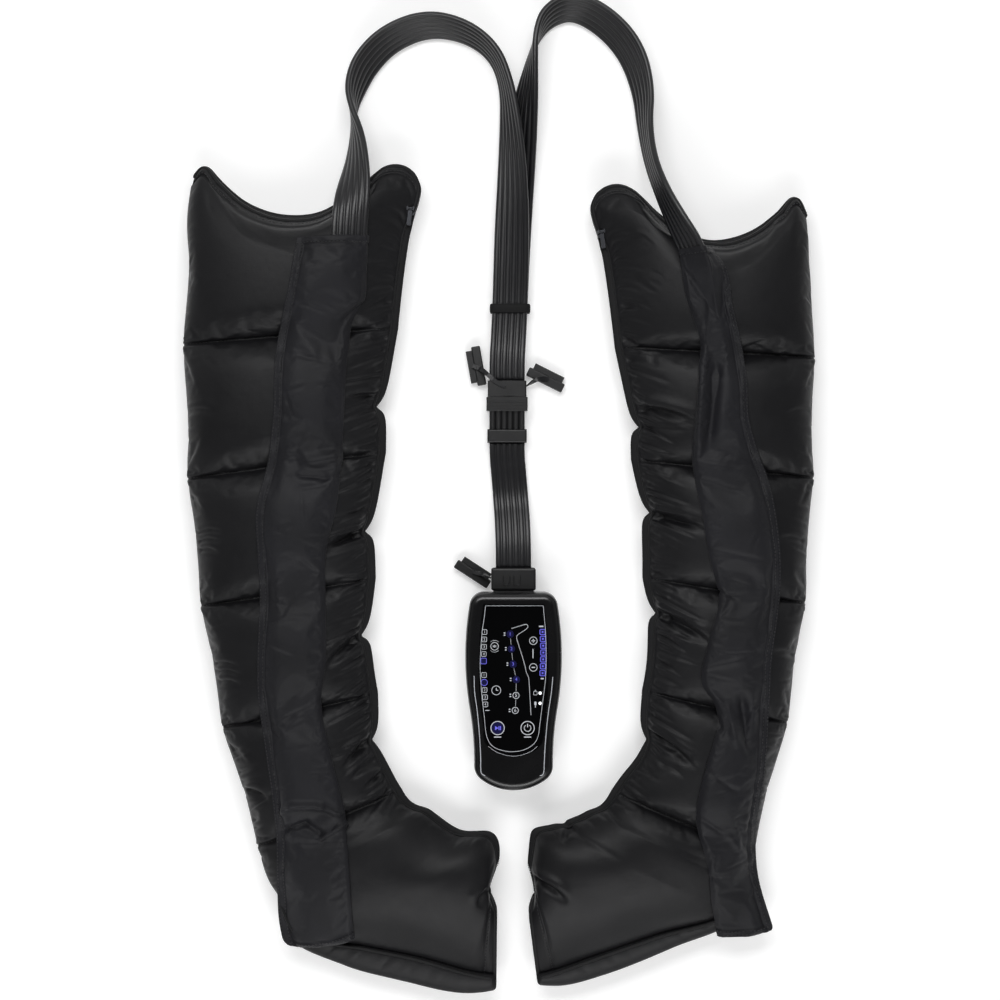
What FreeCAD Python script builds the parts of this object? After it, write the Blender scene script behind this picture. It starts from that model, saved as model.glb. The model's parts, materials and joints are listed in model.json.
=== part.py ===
import FreeCAD, Part
import math
import os
import re
import Sketcher

V = FreeCAD.Vector
UP = V(0, 0, 1)

# Sizes in millimetres
SIZES = {
    # Pump case
    "case_length": 233,
    "case_width": 114,
    "case_foot_width": 93,
    "shoulder_drop": 14,
    "shoulder_inset": 5,
    "widest_drop": 75,
    "foot_straight": 34,
    "foot_corner": 8,
    "foot_bulge": 13,
    "upper_height": 26,
    "lower_height": 24,
    "case_wall": 2.5,
    "upper_round": 9,
    "lower_round": 10,
    "feet_height": 2,
    "feet_radius": 7,
    "pump_across": 16,
    "pump_along": -132,
    # Touch panel and keys
    "panel_thickness": 1.2,
    "panel_width": 81,
    "panel_top_width": 71,
    "panel_foot_width": 70,
    "panel_top_margin": 13.5,
    "panel_foot_margin": 41.5,
    "panel_gap": 0.2,
    "big_key_radius": 8.8,
    "sign_key_radius": 5.2,
    "mode_key_radius": 5.2,
    "timer_key_radius": 6,
    "chamber_key_radius": 4.3,
    "key_gap": 0.25,
    "key_proud": 0.3,
    "key_lip": 1.0,
    "key_lip_height": 1.2,
    "key_travel": 0.6,
    "key_play": 0.15,
    "switch_width": 6,
    "switch_height": 3.6,
    "plunger_radius": 1.7,
    "plunger_height": 0.8,
    # Inside the pump
    "board_width": 70,
    "board_inset": 12,
    "board_thickness": 1.6,
    "boss_radius": 3.2,
    "post_radius": 4.6,
    "screw_radius": 1.5,
    "screw_head_radius": 2.7,
    "screw_head_height": 2.2,
    "screw_depth": 9,
    "battery_width": 35,
    "battery_length": 68,
    "battery_height": 20,
    "battery_side": 17.5,
    "pump_side": -20,
    "motor_radius": 13.5,
    "motor_length": 43,
    "head_width": 36,
    "head_length": 32,
    "head_height": 33,
    "head_gap": 13,
    "valve_block_width": 66,
    "valve_block_length": 25,
    "valve_block_height": 25,
    "valve_radius": 5,
    "valve_length": 26,
    "valve_pitch": 10.8,
    "feed_radius": 2.5,
    "feed_bore": 1.5,
    "socket_width": 48,
    "socket_height": 17,
    "socket_length": 20,
    "socket_proud": 1.5,
    "socket_recess_width": 40.6,
    "socket_recess_height": 10.6,
    "socket_recess_depth": 9.5,
    "outlet_bore": 1.6,
    "charge_width": 11,
    "charge_height": 5.2,
    "charge_depth": 8,
    "charge_drop": 8,
    "charge_slot_width": 9,
    "charge_slot_height": 3.2,
    "charge_slot_depth": 6,
    # Hoses and their fittings
    "hose_width": 42,
    "hose_half": 3.5,
    "hose_web": 1.5,
    "plug_width": 53,
    "plug_length": 27,
    "plug_height": 17,
    "plug_round": 3,
    "plug_gap": 0.3,
    "nose_clearance": 0.3,
    "collar_width": 47,
    "collar_length": 16,
    "collar_height": 19,
    "tail_length": 22,
    "fitting_width": 49,
    "fitting_height": 12.6,
    "fitting_gap": 0.4,
    "splitter_socket_length": 16,
    "boot_plug_length": 19,
    "boot_nose_length": 8,
    "boot_nose_width": 38,
    "boot_nose_height": 8,
    "splitter_across": 8.4,
    "splitter_along": 162,
    "band_width": 10.5,
    "band_thickness": 1.8,
    "cap_length": 47,
    "cap_width": 18,
    "cap_height": 11,
    "tether_width": 5,
    "tether_thickness": 1.6,
    # Boots
    "mouth_width": 262,
    "upper_thigh_width": 256,
    "lower_thigh_width": 238,
    "knee_width": 211,
    "calf_width": 190,
    "ankle_width": 185,
    "heel_width": 214,
    "instep_width": 223,
    "arch_width": 194,
    "ball_width": 146,
    "toe_width": 106,
    "under_depth": 26,
    "leg_gap": 8,
    "thigh_rise": 40,
    "ankle_rise": 34,
    "seam_rise": 12,
    "under_seam": 9,
    "rim": 3,
    "floor_flat": 0.5,
    "back_draw": 5,
    "front_draw": 14,
    "mouth_corner": 18,
    "scoop_radius": 148,
    "scoop_depth": 60,
    "scoop_step": 7,
    "fold_width": 6,
    "zip_inside": 8,
    "zip_outside": 8,
    "zip_edge": 4,
    "slider_length": 14,
    "slider_width": 10,
    "slider_height": 14,
    "slider_gap": 0.5,
    "slider_travel": 110,
    "pull_length": 20,
    "pull_width": 5,
    "pull_thickness": 1.6,
    "pull_eye": 2.2,
    "pull_pin": 0.9,
    "sleeve_rise": 10,
    "sleeve_edge": 1.5,
    "sleeve_gap": 0.5,
    "sole_width": 20,
    "sole_edge": 6,
    "sole_start": 0.2,
}

doc = FreeCAD.newDocument("compression_pump")
sheet = doc.addObject("Spreadsheet::Sheet", "sizes")
for row, (name, number) in enumerate(SIZES.items(), start=1):
    sheet.set("A%d" % row, name)
    sheet.set("B%d" % row, str(number))
    sheet.setAlias("B%d" % row, name)
doc.recompute()

NODES = {}


def size(name):
    return float(getattr(sheet, name))


def cells(text):
    """Name the sheet before each size in an expression."""
    def named(found):
        word = found.group(0)
        return "sizes." + word if word in SIZES else word

    return re.sub(r"[a-z][a-z_]*", named, text)


def value(text):
    return float(sheet.evalExpression(cells(text)))


def keep(name, item):
    item.Label = name
    NODES[name] = item
    return item


# Outlines, pads and pockets of the moulded pieces

PUMP = ("pump_across", "pump_along", "feet_height + lower_height")


def new_body(name):
    body = doc.addObject("PartDesign::Body", name)
    for axis, text in zip("xyz", PUMP):
        body.setExpression("Placement.Base." + axis, cells(text))
    return body


def new_sketch(body, name, lift=None, plane="XY_Plane"):
    sketch = body.newObject("Sketcher::SketchObject", name)
    base = [f for f in body.Origin.OriginFeatures if f.Role == plane][0]
    sketch.AttachmentSupport = (base, [""])
    sketch.MapMode = "FlatFace"
    if lift:
        sketch.setExpression("AttachmentOffset.Base.z", cells(lift))
    return sketch


def tie(sketch, kind, first, text, number):
    index = sketch.addConstraint(Sketcher.Constraint(kind, *first, number))
    sketch.setExpression("Constraints[%d]" % index, cells(text))


def outline(body, name, corners, bulges=None, lift=None, plane="XY_Plane"):
    """A closed outline through corners, anticlockwise. A bulge bows the side after its corner outwards."""
    bulges = bulges or {}
    sketch = new_sketch(body, name, lift, plane)
    points = [V(value(x), value(y), 0) for x, y in corners]
    count = len(points)
    for i, start in enumerate(points):
        end = points[(i + 1) % count]
        if i in bulges:
            chord = end - start
            side = V(chord.y, -chord.x, 0).normalize()
            depth = value(bulges[i])
            middle = (start + end) * 0.5 + side * depth
            first, last = (start, end) if depth > 0 else (end, start)
            sketch.addGeometry(Part.Arc(first, middle, last))
        else:
            sketch.addGeometry(Part.LineSegment(start, end))

    def end_at(index, point):
        geometry = sketch.Geometry[index]
        from_start = geometry.StartPoint.distanceToPoint(point)
        return 1 if from_start < geometry.EndPoint.distanceToPoint(point) else 2

    ends = [(end_at(i - 1 if i else count - 1, point), end_at(i, point)) for i, point in enumerate(points)]
    for i, point in enumerate(points):
        before, here = ends[i]
        sketch.addConstraint(Sketcher.Constraint("Coincident", (i - 1) % count, before, i, here))
        tie(sketch, "DistanceX", (-1, 1, i, here), corners[i][0], point.x)
        tie(sketch, "DistanceY", (-1, 1, i, here), corners[i][1], point.y)
    for i, bulge in bulges.items():
        (x0, y0), (x1, y1) = corners[i], corners[(i + 1) % count]
        text = f"((({x1})-({x0}))^2+(({y1})-({y0}))^2)/(8*abs({bulge}))+abs({bulge})/2"
        tie(sketch, "Radius", (i,), text, value(text))
    return sketch


def circles(body, name, spots, lift=None):
    sketch = new_sketch(body, name, lift)
    for i, (x, y, radius) in enumerate(spots):
        sketch.addGeometry(Part.Circle(V(value(x), value(y), 0), UP, value(radius)))
        tie(sketch, "DistanceX", (-1, 1, i, 3), x, value(x))
        tie(sketch, "DistanceY", (-1, 1, i, 3), y, value(y))
        tie(sketch, "Radius", (i,), radius, value(radius))
    return sketch


def grow(body, kind, sketch, length, reverse=False):
    """Pad or pocket a sketch, and see that it changed the piece the right way."""
    before = body.Shape.Volume if body.Tip else 0
    feature = body.newObject("PartDesign::" + kind, sketch.Name + "_" + kind.lower())
    feature.Profile = sketch
    feature.setExpression("Length", cells(length))
    feature.Reversed = reverse
    doc.recompute()
    change = body.Shape.Volume - before
    if (change <= 0) == (kind == "Pad"):
        raise ValueError(f"{feature.Name} changed the volume by {change}")
    return feature


def round_level(body, name, level, radius):
    """Round the loop of edges at one level."""
    base = body.Tip
    found = []
    for number, edge in enumerate(base.Shape.Edges, start=1):
        if all(abs(v.Z - level) < 1e-4 for v in edge.Vertexes):
            found.append("Edge%d" % number)
    feature = body.newObject("PartDesign::Fillet", name)
    feature.Base = (base, found)
    feature.setExpression("Radius", cells(radius))
    doc.recompute()
    if "Invalid" in feature.State:
        raise ValueError(f"{name}: {feature.getStatusString()}")
    return feature


def bow(wide, high, slope):
    """How far an arc bows from its chord, when the chord leaves the arc's end at a given slope."""
    return f"sqrt(({wide})^2 + ({high})^2) / 2 * (sqrt(1 + ({slope})^2) - 1) / ({slope})"


def case_outline(inset):
    """The pump seen from above, drawn in all round by an inset. Each arc runs smoothly into the next."""
    top = f"case_length / 2 - ({inset})"
    shoulder = f"case_width / 2 - shoulder_inset - ({inset})"
    widest = f"case_width / 2 - ({inset})"
    middle = f"(case_width + case_foot_width) / 4 - ({inset})"
    narrow = f"case_foot_width / 2 - ({inset})"
    shoulder_y = "case_length / 2 - shoulder_drop"
    widest_y = "case_length / 2 - widest_drop"
    waist = "(case_length - widest_drop - foot_straight)"
    middle_y = f"case_length / 2 - widest_drop - {waist} / 2"
    narrow_y = "-case_length / 2 + foot_straight"
    lean = "shoulder_inset / (widest_drop - shoulder_drop)"
    drop = f"shoulder_drop - ({inset})"
    flat = f"{shoulder} - ({drop}) * (1 + {lean}) / (1 - {lean})"
    corner = f"foot_corner * 12 / (12 + {inset})"
    end_x = f"{narrow} - {corner}"
    tip = f"foot_bulge / ({end_x})"
    rise = f"({corner}) * (1 + {tip}) / (1 - {tip})"
    end_y = f"-case_length / 2 + ({inset}) + foot_bulge"
    right = [(end_x, end_y), (narrow, f"{end_y} + {rise}"), (narrow, narrow_y), (middle, middle_y),
             (widest, widest_y), (shoulder, shoulder_y), (flat, top)]
    left = [(f"-({x})", y) for x, y in reversed(right)]
    step = "(case_width - case_foot_width) / 4"
    wave = bow(step, f"{waist} / 2", f"{step} / ({waist} / 2)")
    side = bow("shoulder_inset", "widest_drop - shoulder_drop", lean)
    turn = bow(f"{shoulder} - ({flat})", drop, f"(1 - {lean}) / (1 + {lean})")
    bend = bow(corner, rise, f"(1 - {tip}) / (1 + {tip})")
    bulges = {0: bend, 2: f"-({wave})", 3: wave, 4: side, 5: turn, 7: turn, 8: side, 9: wave,
              10: f"-({wave})", 12: bend, 13: "foot_bulge"}
    return right + left, bulges


PANEL_TOP = "(case_length / 2 - panel_top_margin)"
PANEL_FOOT = "(panel_foot_margin - case_length / 2)"


def up_panel(share):
    """A place along the panel, from its foot, 0, to its top, 1."""
    return f"({PANEL_FOOT} + {share} * ({PANEL_TOP} - {PANEL_FOOT}))"


def panel_outline(extra):
    """The touch panel seen from above, grown all round by a gap."""
    right = [("panel_width * 0.24", f"{PANEL_FOOT} + 4 - ({extra})"),
             (f"panel_foot_width / 2 + ({extra})", up_panel(0.17)),
             (f"panel_width / 2 + ({extra})", up_panel(0.66)),
             (f"panel_top_width / 2 + ({extra})", f"{PANEL_TOP} + ({extra})")]
    left = [(f"-({x})", y) for x, y in reversed(right)]
    bulges = {0: "6", 1: "2.2", 2: "1.2", 4: "1.2", 5: "2.2", 6: "6", 7: "4"}
    return right + left, bulges


# Keys: name, distance from the panel's middle line, share of the way up the panel, and radius
KEYS = [
    ("power_button", 16.4, 0.185, "big_key_radius"),
    ("start_button", -18.8, 0.185, "big_key_radius"),
    ("pressure_up_button", 23.1, 0.761, "sign_key_radius"),
    ("pressure_down_button", 23.1, 0.585, "sign_key_radius"),
    ("mode_button", -22.4, 0.724, "mode_key_radius"),
    ("timer_button", -20.4, 0.434, "timer_key_radius"),
    ("chamber_button_1", -4.1, 0.804, "chamber_key_radius"),
    ("chamber_button_2", -2.6, 0.707, "chamber_key_radius"),
    ("chamber_button_3", -0.7, 0.606, "chamber_key_radius"),
    ("chamber_button_4", 3.1, 0.505, "chamber_key_radius"),
    ("chamber_button_5", 2.8, 0.4, "chamber_key_radius"),
    ("chamber_button_6", 1.9, 0.301, "chamber_key_radius"),
]
KEYS = [(name, x, up_panel(share), radius) for name, x, share, radius in KEYS]


def four(top, foot):
    """Two places each side of the middle line: at the top end and at the foot."""
    return [(sign * across, along) for across, along in (top, foot) for sign in (-1, 1)]


BOARD_BOSSES = four((29, f"{PANEL_TOP} - 19"), (29, f"{PANEL_FOOT} + 21"))
SCREWS = four((42, "case_length / 2 - 58.5"), (40.5, "68.5 - case_length / 2"))
FEET = four((36, "case_length / 2 - 44.5"), (27, "30.5 - case_length / 2"))

# Levels above the joint between the two case halves
TOP_WALL = "case_wall + panel_thickness"
WALL_UNDER = f"upper_height - ({TOP_WALL})"
LIP_TOP = f"{WALL_UNDER} - key_play"
LIP_FOOT = f"{LIP_TOP} - key_lip_height"
SWITCH_TOP = f"{LIP_FOOT} - key_travel - key_play"
BOARD_TOP = f"{SWITCH_TOP} - switch_height"
FLOOR = "case_wall - lower_height"


def at(spots, radius):
    return [(str(x), str(y), radius) for x, y in spots]


# Upper case half
upper = new_body("upper_case")
grow(upper, "Pad", outline(upper, "upper_shape", *case_outline("0")), "upper_height")
round_level(upper, "upper_edge", value("upper_height"), "upper_round")
room = outline(upper, "upper_room", *case_outline("case_wall"))
grow(upper, "Pocket", room, "upper_height - upper_round", reverse=True)
roof = outline(upper, "upper_roof", *case_outline("case_wall + upper_round * 0.5"))
grow(upper, "Pocket", roof, WALL_UNDER, reverse=True)
seat = outline(upper, "panel_seat", *panel_outline("panel_gap"), lift="upper_height")
grow(upper, "Pocket", seat, "panel_thickness")
key_holes = [(str(x), str(y), radius + " + key_gap") for name, x, y, radius in KEYS]
grow(upper, "Pocket", circles(upper, "key_holes", key_holes, "upper_height"), "upper_height")
grow(upper, "Pad", circles(upper, "board_bosses", at(BOARD_BOSSES, "boss_radius"), BOARD_TOP),
     f"{WALL_UNDER} + case_wall / 2 - ({BOARD_TOP})")
grow(upper, "Pad", circles(upper, "screw_bosses", at(SCREWS, "post_radius")), f"{WALL_UNDER} + case_wall / 2")
pilots = circles(upper, "screw_pilots", at(SCREWS, "screw_radius + 0.1"))
grow(upper, "Pocket", pilots, "screw_depth + 1", reverse=True)
notch_x = "socket_width / 2 + 0.2"
notch = [(f"-({notch_x})", "case_length / 2 - case_wall - 6"), (notch_x, "case_length / 2 - case_wall - 6"),
         (notch_x, "case_length / 2 + 2"), (f"-({notch_x})", "case_length / 2 + 2")]
grow(upper, "Pocket", outline(upper, "upper_notch", notch), "socket_height / 2 + 0.2", reverse=True)
keep("pump_upper_case", upper)

# Lower case half
lower = new_body("lower_case")
grow(lower, "Pad", outline(lower, "lower_shape", *case_outline("0")), "lower_height", reverse=True)
round_level(lower, "lower_edge", -value("lower_height"), "lower_round")
grow(lower, "Pocket", outline(lower, "lower_room", *case_outline("case_wall")), "lower_height - lower_round")
grow(lower, "Pocket", outline(lower, "lower_floor", *case_outline("case_wall + lower_round * 0.4")),
     "lower_height - case_wall")
grow(lower, "Pad", circles(lower, "screw_posts", at(SCREWS, "post_radius"), FLOOR + " - case_wall / 2"),
     "lower_height - case_wall / 2")
grow(lower, "Pocket", circles(lower, "screw_ways", at(SCREWS, "screw_radius + 0.3")), "lower_height + 1")
grow(lower, "Pocket", circles(lower, "screw_seats", at(SCREWS, "screw_head_radius + 0.3"), "-lower_height"),
     "screw_head_height + 1.5", reverse=True)
grow(lower, "Pocket", outline(lower, "lower_notch", notch), "socket_height / 2 + 0.2")
charge_x = "charge_width / 2 + 0.2"
charge_y = "-case_length / 2"
inlet = [(f"-({charge_x})", f"{charge_y} - 2"), (charge_x, f"{charge_y} - 2"), (charge_x, f"{charge_y} + 6"),
         (f"-({charge_x})", f"{charge_y} + 6")]
grow(lower, "Pocket", outline(lower, "inlet_way", inlet, lift="-charge_drop + charge_height / 2 + 0.2"),
     "charge_height + 0.4")
keep("pump_lower_case", lower)

# Touch panel
panel = new_body("panel")
grow(panel, "Pad", outline(panel, "panel_shape", *panel_outline("0"), lift="upper_height - panel_thickness"),
     "panel_thickness")
grow(panel, "Pocket", circles(panel, "panel_openings", key_holes, "upper_height"), "panel_thickness + 1")
keep("touch_panel", panel)

# Keys, each turned about its own axis, with a lip that stops it under the case wall
for name, x, y, radius in KEYS:
    body = new_body(name + "_body")
    body.setExpression("Placement.Base.x", cells(f"pump_across + ({x})"))
    body.setExpression("Placement.Base.y", cells(f"pump_along + ({y})"))
    top = "upper_height + key_proud"
    profile = [("0", LIP_FOOT), (f"{radius} + key_lip", LIP_FOOT), (f"{radius} + key_lip", LIP_TOP),
               (radius, LIP_TOP), (radius, f"{top} - 0.4"), (f"{radius} - 0.4", top), ("0", top)]
    sketch = outline(body, name + "_profile", profile, plane="XZ_Plane")
    turned = body.newObject("PartDesign::Revolution", name + "_turned")
    turned.Profile = sketch
    turned.ReferenceAxis = (sketch, ["V_Axis"])
    turned.Angle = 360
    keep(name, body)
doc.recompute()


# Plain blocks and rods

def place(item, corner):
    for axis, text in zip("xyz", corner):
        item.setExpression("Placement.Base." + axis, cells(text))


def in_pump(corner):
    return [f"{base} + ({text})" for base, text in zip(PUMP, corner)]


def block(name, sides, corner):
    item = doc.addObject("Part::Box", name)
    for prop, text in zip(("Length", "Width", "Height"), sides):
        item.setExpression(prop, cells(text))
    place(item, corner)
    return item


def rod(name, radius, length, corner, axis=UP):
    item = doc.addObject("Part::Cylinder", name)
    item.Placement = FreeCAD.Placement(V(0, 0, 0), FreeCAD.Rotation(UP, axis))
    item.setExpression("Radius", cells(radius))
    item.setExpression("Height", cells(length))
    place(item, corner)
    return item


def cut(name, base, tool):
    item = doc.addObject("Part::Cut", name)
    item.Base = base
    item.Tool = tool
    return item


def fuse(name, items):
    item = doc.addObject("Part::MultiFuse", name)
    item.Shapes = items
    return item


def group(name, items):
    item = doc.addObject("Part::Compound", name)
    item.Links = items
    return item


def rounded(name, base, radius, edges=None):
    doc.recompute()
    item = doc.addObject("Part::Fillet", name)
    item.Base = base
    number = value(radius)
    chosen = edges or range(1, len(base.Shape.Edges) + 1)
    item.Edges = [(edge, number, number) for edge in chosen]
    return item


ALONG = V(0, 1, 0)

# Board, with its switches under the keys
board_length = f"{PANEL_TOP} - {PANEL_FOOT} - 2 * board_inset"
board_back = f"{PANEL_FOOT} + board_inset"
board = block("board", ("board_width", board_length, "board_thickness"),
              in_pump(("-board_width / 2", board_back, f"{BOARD_TOP} - board_thickness")))
keep("control_board", board)
switches = []
for name, x, y, radius in KEYS:
    base = block(name + "_switch", ("switch_width", "switch_width", "switch_height - plunger_height"),
                 in_pump((f"{x} - switch_width / 2", f"{y} - switch_width / 2", BOARD_TOP)))
    plunger = rod(name + "_plunger", "plunger_radius", "plunger_height",
                  in_pump((str(x), str(y), f"{SWITCH_TOP} - plunger_height")))
    switches.append(fuse(name + "_switch_unit", [base, plunger]))
keep("key_switches", group("switch_group", switches))

# Battery, air pump, valves
block_back = "case_length / 2 + socket_proud - socket_length - valve_block_length"
head_front = f"({block_back} - valve_length - head_gap)"
battery = block("battery", ("battery_width", "battery_length", "battery_height"),
                in_pump(("battery_side - battery_width / 2", f"{head_front} - battery_length - 2", FLOOR)))
keep("battery_pack", rounded("battery_round", battery, "4", (2, 4, 6, 8)))
head = block("head", ("head_width", "head_length", "head_height"),
             in_pump(("pump_side - head_width / 2", f"{head_front} - head_length", FLOOR)))
keep("pump_head", rounded("head_round", head, "2.5", (1, 3, 5, 7)))
motor_back = f"{head_front} - head_length - motor_length"
motor = rod("motor", "motor_radius", "motor_length",
            in_pump(("pump_side", motor_back, f"{FLOOR} + motor_radius + 0.3")), ALONG)
keep("pump_motor", motor)
manifold = block("manifold", ("valve_block_width", "valve_block_length", "valve_block_height"),
                 in_pump(("-valve_block_width / 2", block_back, FLOOR)))
keep("valve_block", manifold)
valves = []
for i in range(6):
    side = f"{i - 2.5} * valve_pitch"
    valve_start = in_pump((side, f"{block_back} - valve_length", f"{FLOOR} + valve_radius + 0.3"))
    valves.append(rod(f"valve_{i + 1}", "valve_radius", "valve_length", valve_start, ALONG))
keep("solenoid_valves", group("valve_group", valves))
feed_height = f"{FLOOR} + valve_block_height - feed_radius - 1.2"
feed_length = f"{block_back} - {head_front}"
feed_start = in_pump(("pump_side", head_front, feed_height))
feed = cut("feed", rod("feed_outside", "feed_radius", feed_length, feed_start, ALONG),
           rod("feed_inside", "feed_bore", feed_length, feed_start, ALONG))
keep("air_feed_tube", feed)

# Six-way outlet socket in the end wall, with the recess for the plug
socket_front = "case_length / 2 + socket_proud"
shell = block("socket_shell", ("socket_width", "socket_length", "socket_height"),
              in_pump(("-socket_width / 2", f"{socket_front} - socket_length", "-socket_height / 2")))
recess = block("socket_recess", ("socket_recess_width", "socket_recess_depth + 1", "socket_recess_height"),
               in_pump(("-socket_recess_width / 2", f"{socket_front} - socket_recess_depth",
                        "-socket_recess_height / 2")))
bores = [rod(f"outlet_bore_{i + 1}", "outlet_bore", "socket_length + 2",
             in_pump((f"{i - 2.5} * hose_width / 6 * 0.9", f"{socket_front} - socket_length - 1", "0")),
             ALONG) for i in range(6)]
keep("outlet_socket", cut("socket", shell, fuse("socket_openings", [recess] + bores)))

# Charging inlet in the other end wall
inlet_z = "-charge_drop - charge_height / 2"
inlet_shell = block("inlet_shell", ("charge_width", "charge_depth", "charge_height"),
                    in_pump(("-charge_width / 2", f"{charge_y} + 0.6", inlet_z)))
inlet_slot = block("inlet_slot", ("charge_slot_width", "charge_slot_depth + 1", "charge_slot_height"),
                   in_pump(("-charge_slot_width / 2", f"{charge_y} - 0.4",
                            "-charge_drop - charge_slot_height / 2")))
keep("charge_socket", cut("inlet", inlet_shell, inlet_slot))

# Screws and feet
screws = []
for i, (x, y) in enumerate(SCREWS, start=1):
    seat = "-lower_height + screw_head_height + 1.5"
    screw_head = rod(f"screw_head_{i}", "screw_head_radius", "screw_head_height",
                     in_pump((str(x), str(y), f"{seat} - screw_head_height")))
    shank = rod(f"screw_shank_{i}", "screw_radius", f"screw_depth - ({seat})",
                in_pump((str(x), str(y), seat)))
    screws.append(fuse(f"screw_{i}", [screw_head, shank]))
keep("case_screws", group("screw_group", screws))
feet = []
for i, (x, y) in enumerate(FEET, start=1):
    foot_start = in_pump((str(x), str(y), "-lower_height - feet_height"))
    feet.append(rod(f"foot_{i}", "feet_radius", "feet_height", foot_start))
keep("rubber_feet", group("feet_group", feet))

# Plug in the pump's outlet
plug_back = f"{socket_front} + plug_gap"
plug_body = block("plug_body", ("plug_width", "plug_length", "plug_height"),
                  in_pump(("-plug_width / 2", plug_back, "-plug_height / 2")))
nose_width = "socket_recess_width - 2 * nose_clearance"
nose_height = "socket_recess_height - 2 * nose_clearance"
plug_nose = block("plug_nose", (nose_width, "socket_recess_depth - 0.5 + plug_gap + 2", nose_height),
                  in_pump((f"-({nose_width}) / 2", f"{socket_front} - socket_recess_depth + 0.5",
                           f"-({nose_height}) / 2")))
keep("pump_hose_plug", fuse("pump_plug", [rounded("plug_body_round", plug_body, "plug_round"), plug_nose]))

# Splitter: collar, two stacked sockets and the boot hoses' plugs
X0 = "splitter_across"
Y0 = "splitter_along"
collar = block("collar", ("collar_width", "collar_length", "collar_height"),
               (f"{X0} - collar_width / 2", Y0, "0"))
collar_round = rounded("collar_round", collar, "2", (2, 4, 6, 8, 9, 10, 11, 12))
socket_y = f"{Y0} + collar_length + tail_length"
plug_y = f"{socket_y} + splitter_socket_length + fitting_gap"
LEVELS = {"right": "0", "left": "fitting_height + fitting_gap"}
sockets = []
for side, foot in LEVELS.items():
    body = block(side + "_socket_body", ("fitting_width", "splitter_socket_length", "fitting_height"),
                 (f"{X0} - fitting_width / 2", socket_y, foot))
    room = block(side + "_socket_room",
                 ("boot_nose_width + 2 * nose_clearance", "boot_nose_length + 1.5",
                  "boot_nose_height + 2 * nose_clearance"),
                 (f"{X0} - boot_nose_width / 2 - nose_clearance",
                  f"{socket_y} + splitter_socket_length - boot_nose_length - 0.5",
                  f"{foot} + (fitting_height - boot_nose_height) / 2 - nose_clearance"))
    sockets.append(cut(side + "_socket", rounded(side + "_socket_round", body, "1.5", (2, 4, 6, 8)), room))
    plug = block(side + "_plug_body", ("fitting_width - 3", "boot_plug_length", "fitting_height"),
                 (f"{X0} - fitting_width / 2 + 1.5", plug_y, foot))
    nose = block(side + "_plug_nose",
                 ("boot_nose_width", "boot_nose_length + fitting_gap + 2", "boot_nose_height"),
                 (f"{X0} - boot_nose_width / 2", f"{plug_y} - boot_nose_length - fitting_gap",
                  f"{foot} + (fitting_height - boot_nose_height) / 2"))
    plug_round = rounded(side + "_plug_round", plug, "2", (2, 4, 6, 8))
    keep(side + "_hose_plug", fuse(side + "_plug", [plug_round, nose]))
keep("splitter_sockets", group("socket_pair", sockets))
doc.recompute()


# Flat hoses of six tubes, lofted along a smooth route

def spline(points):
    """A quadratic curve held at both ends of its control points."""
    curve = Part.BSplineCurve()
    knots = list(range(len(points) - 1))
    curve.buildFromPolesMultsKnots(points, [3] + [1] * (len(knots) - 2) + [3], knots, False, 2)
    return curve


def route_frames(route, per_span):
    """Places along a route, each with its direction across the hose and its direction through the hose."""
    line = spline([V(x, y, z) for x, y, z, roll in route])
    rolls = spline([V(roll, 0, 0) for x, y, z, roll in route])
    count = (len(route) - 2) * per_span
    frames = []
    for i in range(count + 1):
        u = (len(route) - 2) * i / count
        ahead = line.tangent(u)[0].normalize()
        left = UP.cross(ahead).normalize()
        over = ahead.cross(left).normalize()
        roll = math.radians(rolls.value(u).x)
        across = left * math.cos(roll) + over * math.sin(roll)
        frames.append((line.value(u), across, ahead.cross(across).normalize()))
    return frames, line


def hose_section(centre, across, through):
    """Six tubes side by side: one arc over each on both faces, and a short side at each end."""
    width, half, web = size("hose_width"), size("hose_half"), size("hose_web")
    pitch = width / 6
    edges = []
    for face in (1, -1):
        for i in range(6):
            k = i if face == 1 else 5 - i
            a, b = (k - 3) * pitch, (k - 2) * pitch
            if face == -1:
                a, b = b, a
            spots = [(a, web * face), ((a + b) / 2, half * face), (b, web * face)]
            p = [centre + across * s + through * t for s, t in spots]
            edges.append(Part.Arc(*p).toShape())
        end = width / 2 * face
        edges.append(Part.LineSegment(centre + across * end + through * (web * face),
                                      centre + across * end - through * (web * face)).toShape())
    return Part.Wire(edges)


def strap_section(centre, across, through):
    a, t = across * (size("tether_width") / 2), through * (size("tether_thickness") / 2)
    corners = [centre - a - t, centre + a - t, centre + a + t, centre - a + t]
    return Part.makePolygon(corners + corners[:1])


def ribbon(route, section, per_span):
    frames, line = route_frames(route, per_span)
    return Part.makeLoft([section(*frame) for frame in frames], True, True), line.length()


def shape_node(name, shape):
    item = doc.addObject("Part::Feature", name + "_shape")
    item.Shape = shape
    return keep(name, item)


def shape_item(name, shape):
    item = doc.addObject("Part::Feature", name)
    item.Shape = shape
    return item


socket_level = value("feet_height + lower_height")
hose_start = value(f"pump_along + {plug_back} + plug_length")
collar_level = value("collar_height / 2")
across0 = size("splitter_across")
collar_start = value(Y0)
collar_end = value(f"{Y0} + collar_length")
tail_end = value(socket_y)
plug_end = value(f"{plug_y} + boot_plug_length")
low_level = value("fitting_height / 2")
high_level = value("fitting_height * 1.5 + fitting_gap")
half = size("hose_half")
pump_x = size("pump_across")
collar_low = low_level
collar_high = min(value("collar_height") - half - 1, collar_low + 2 * half + 1)

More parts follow.
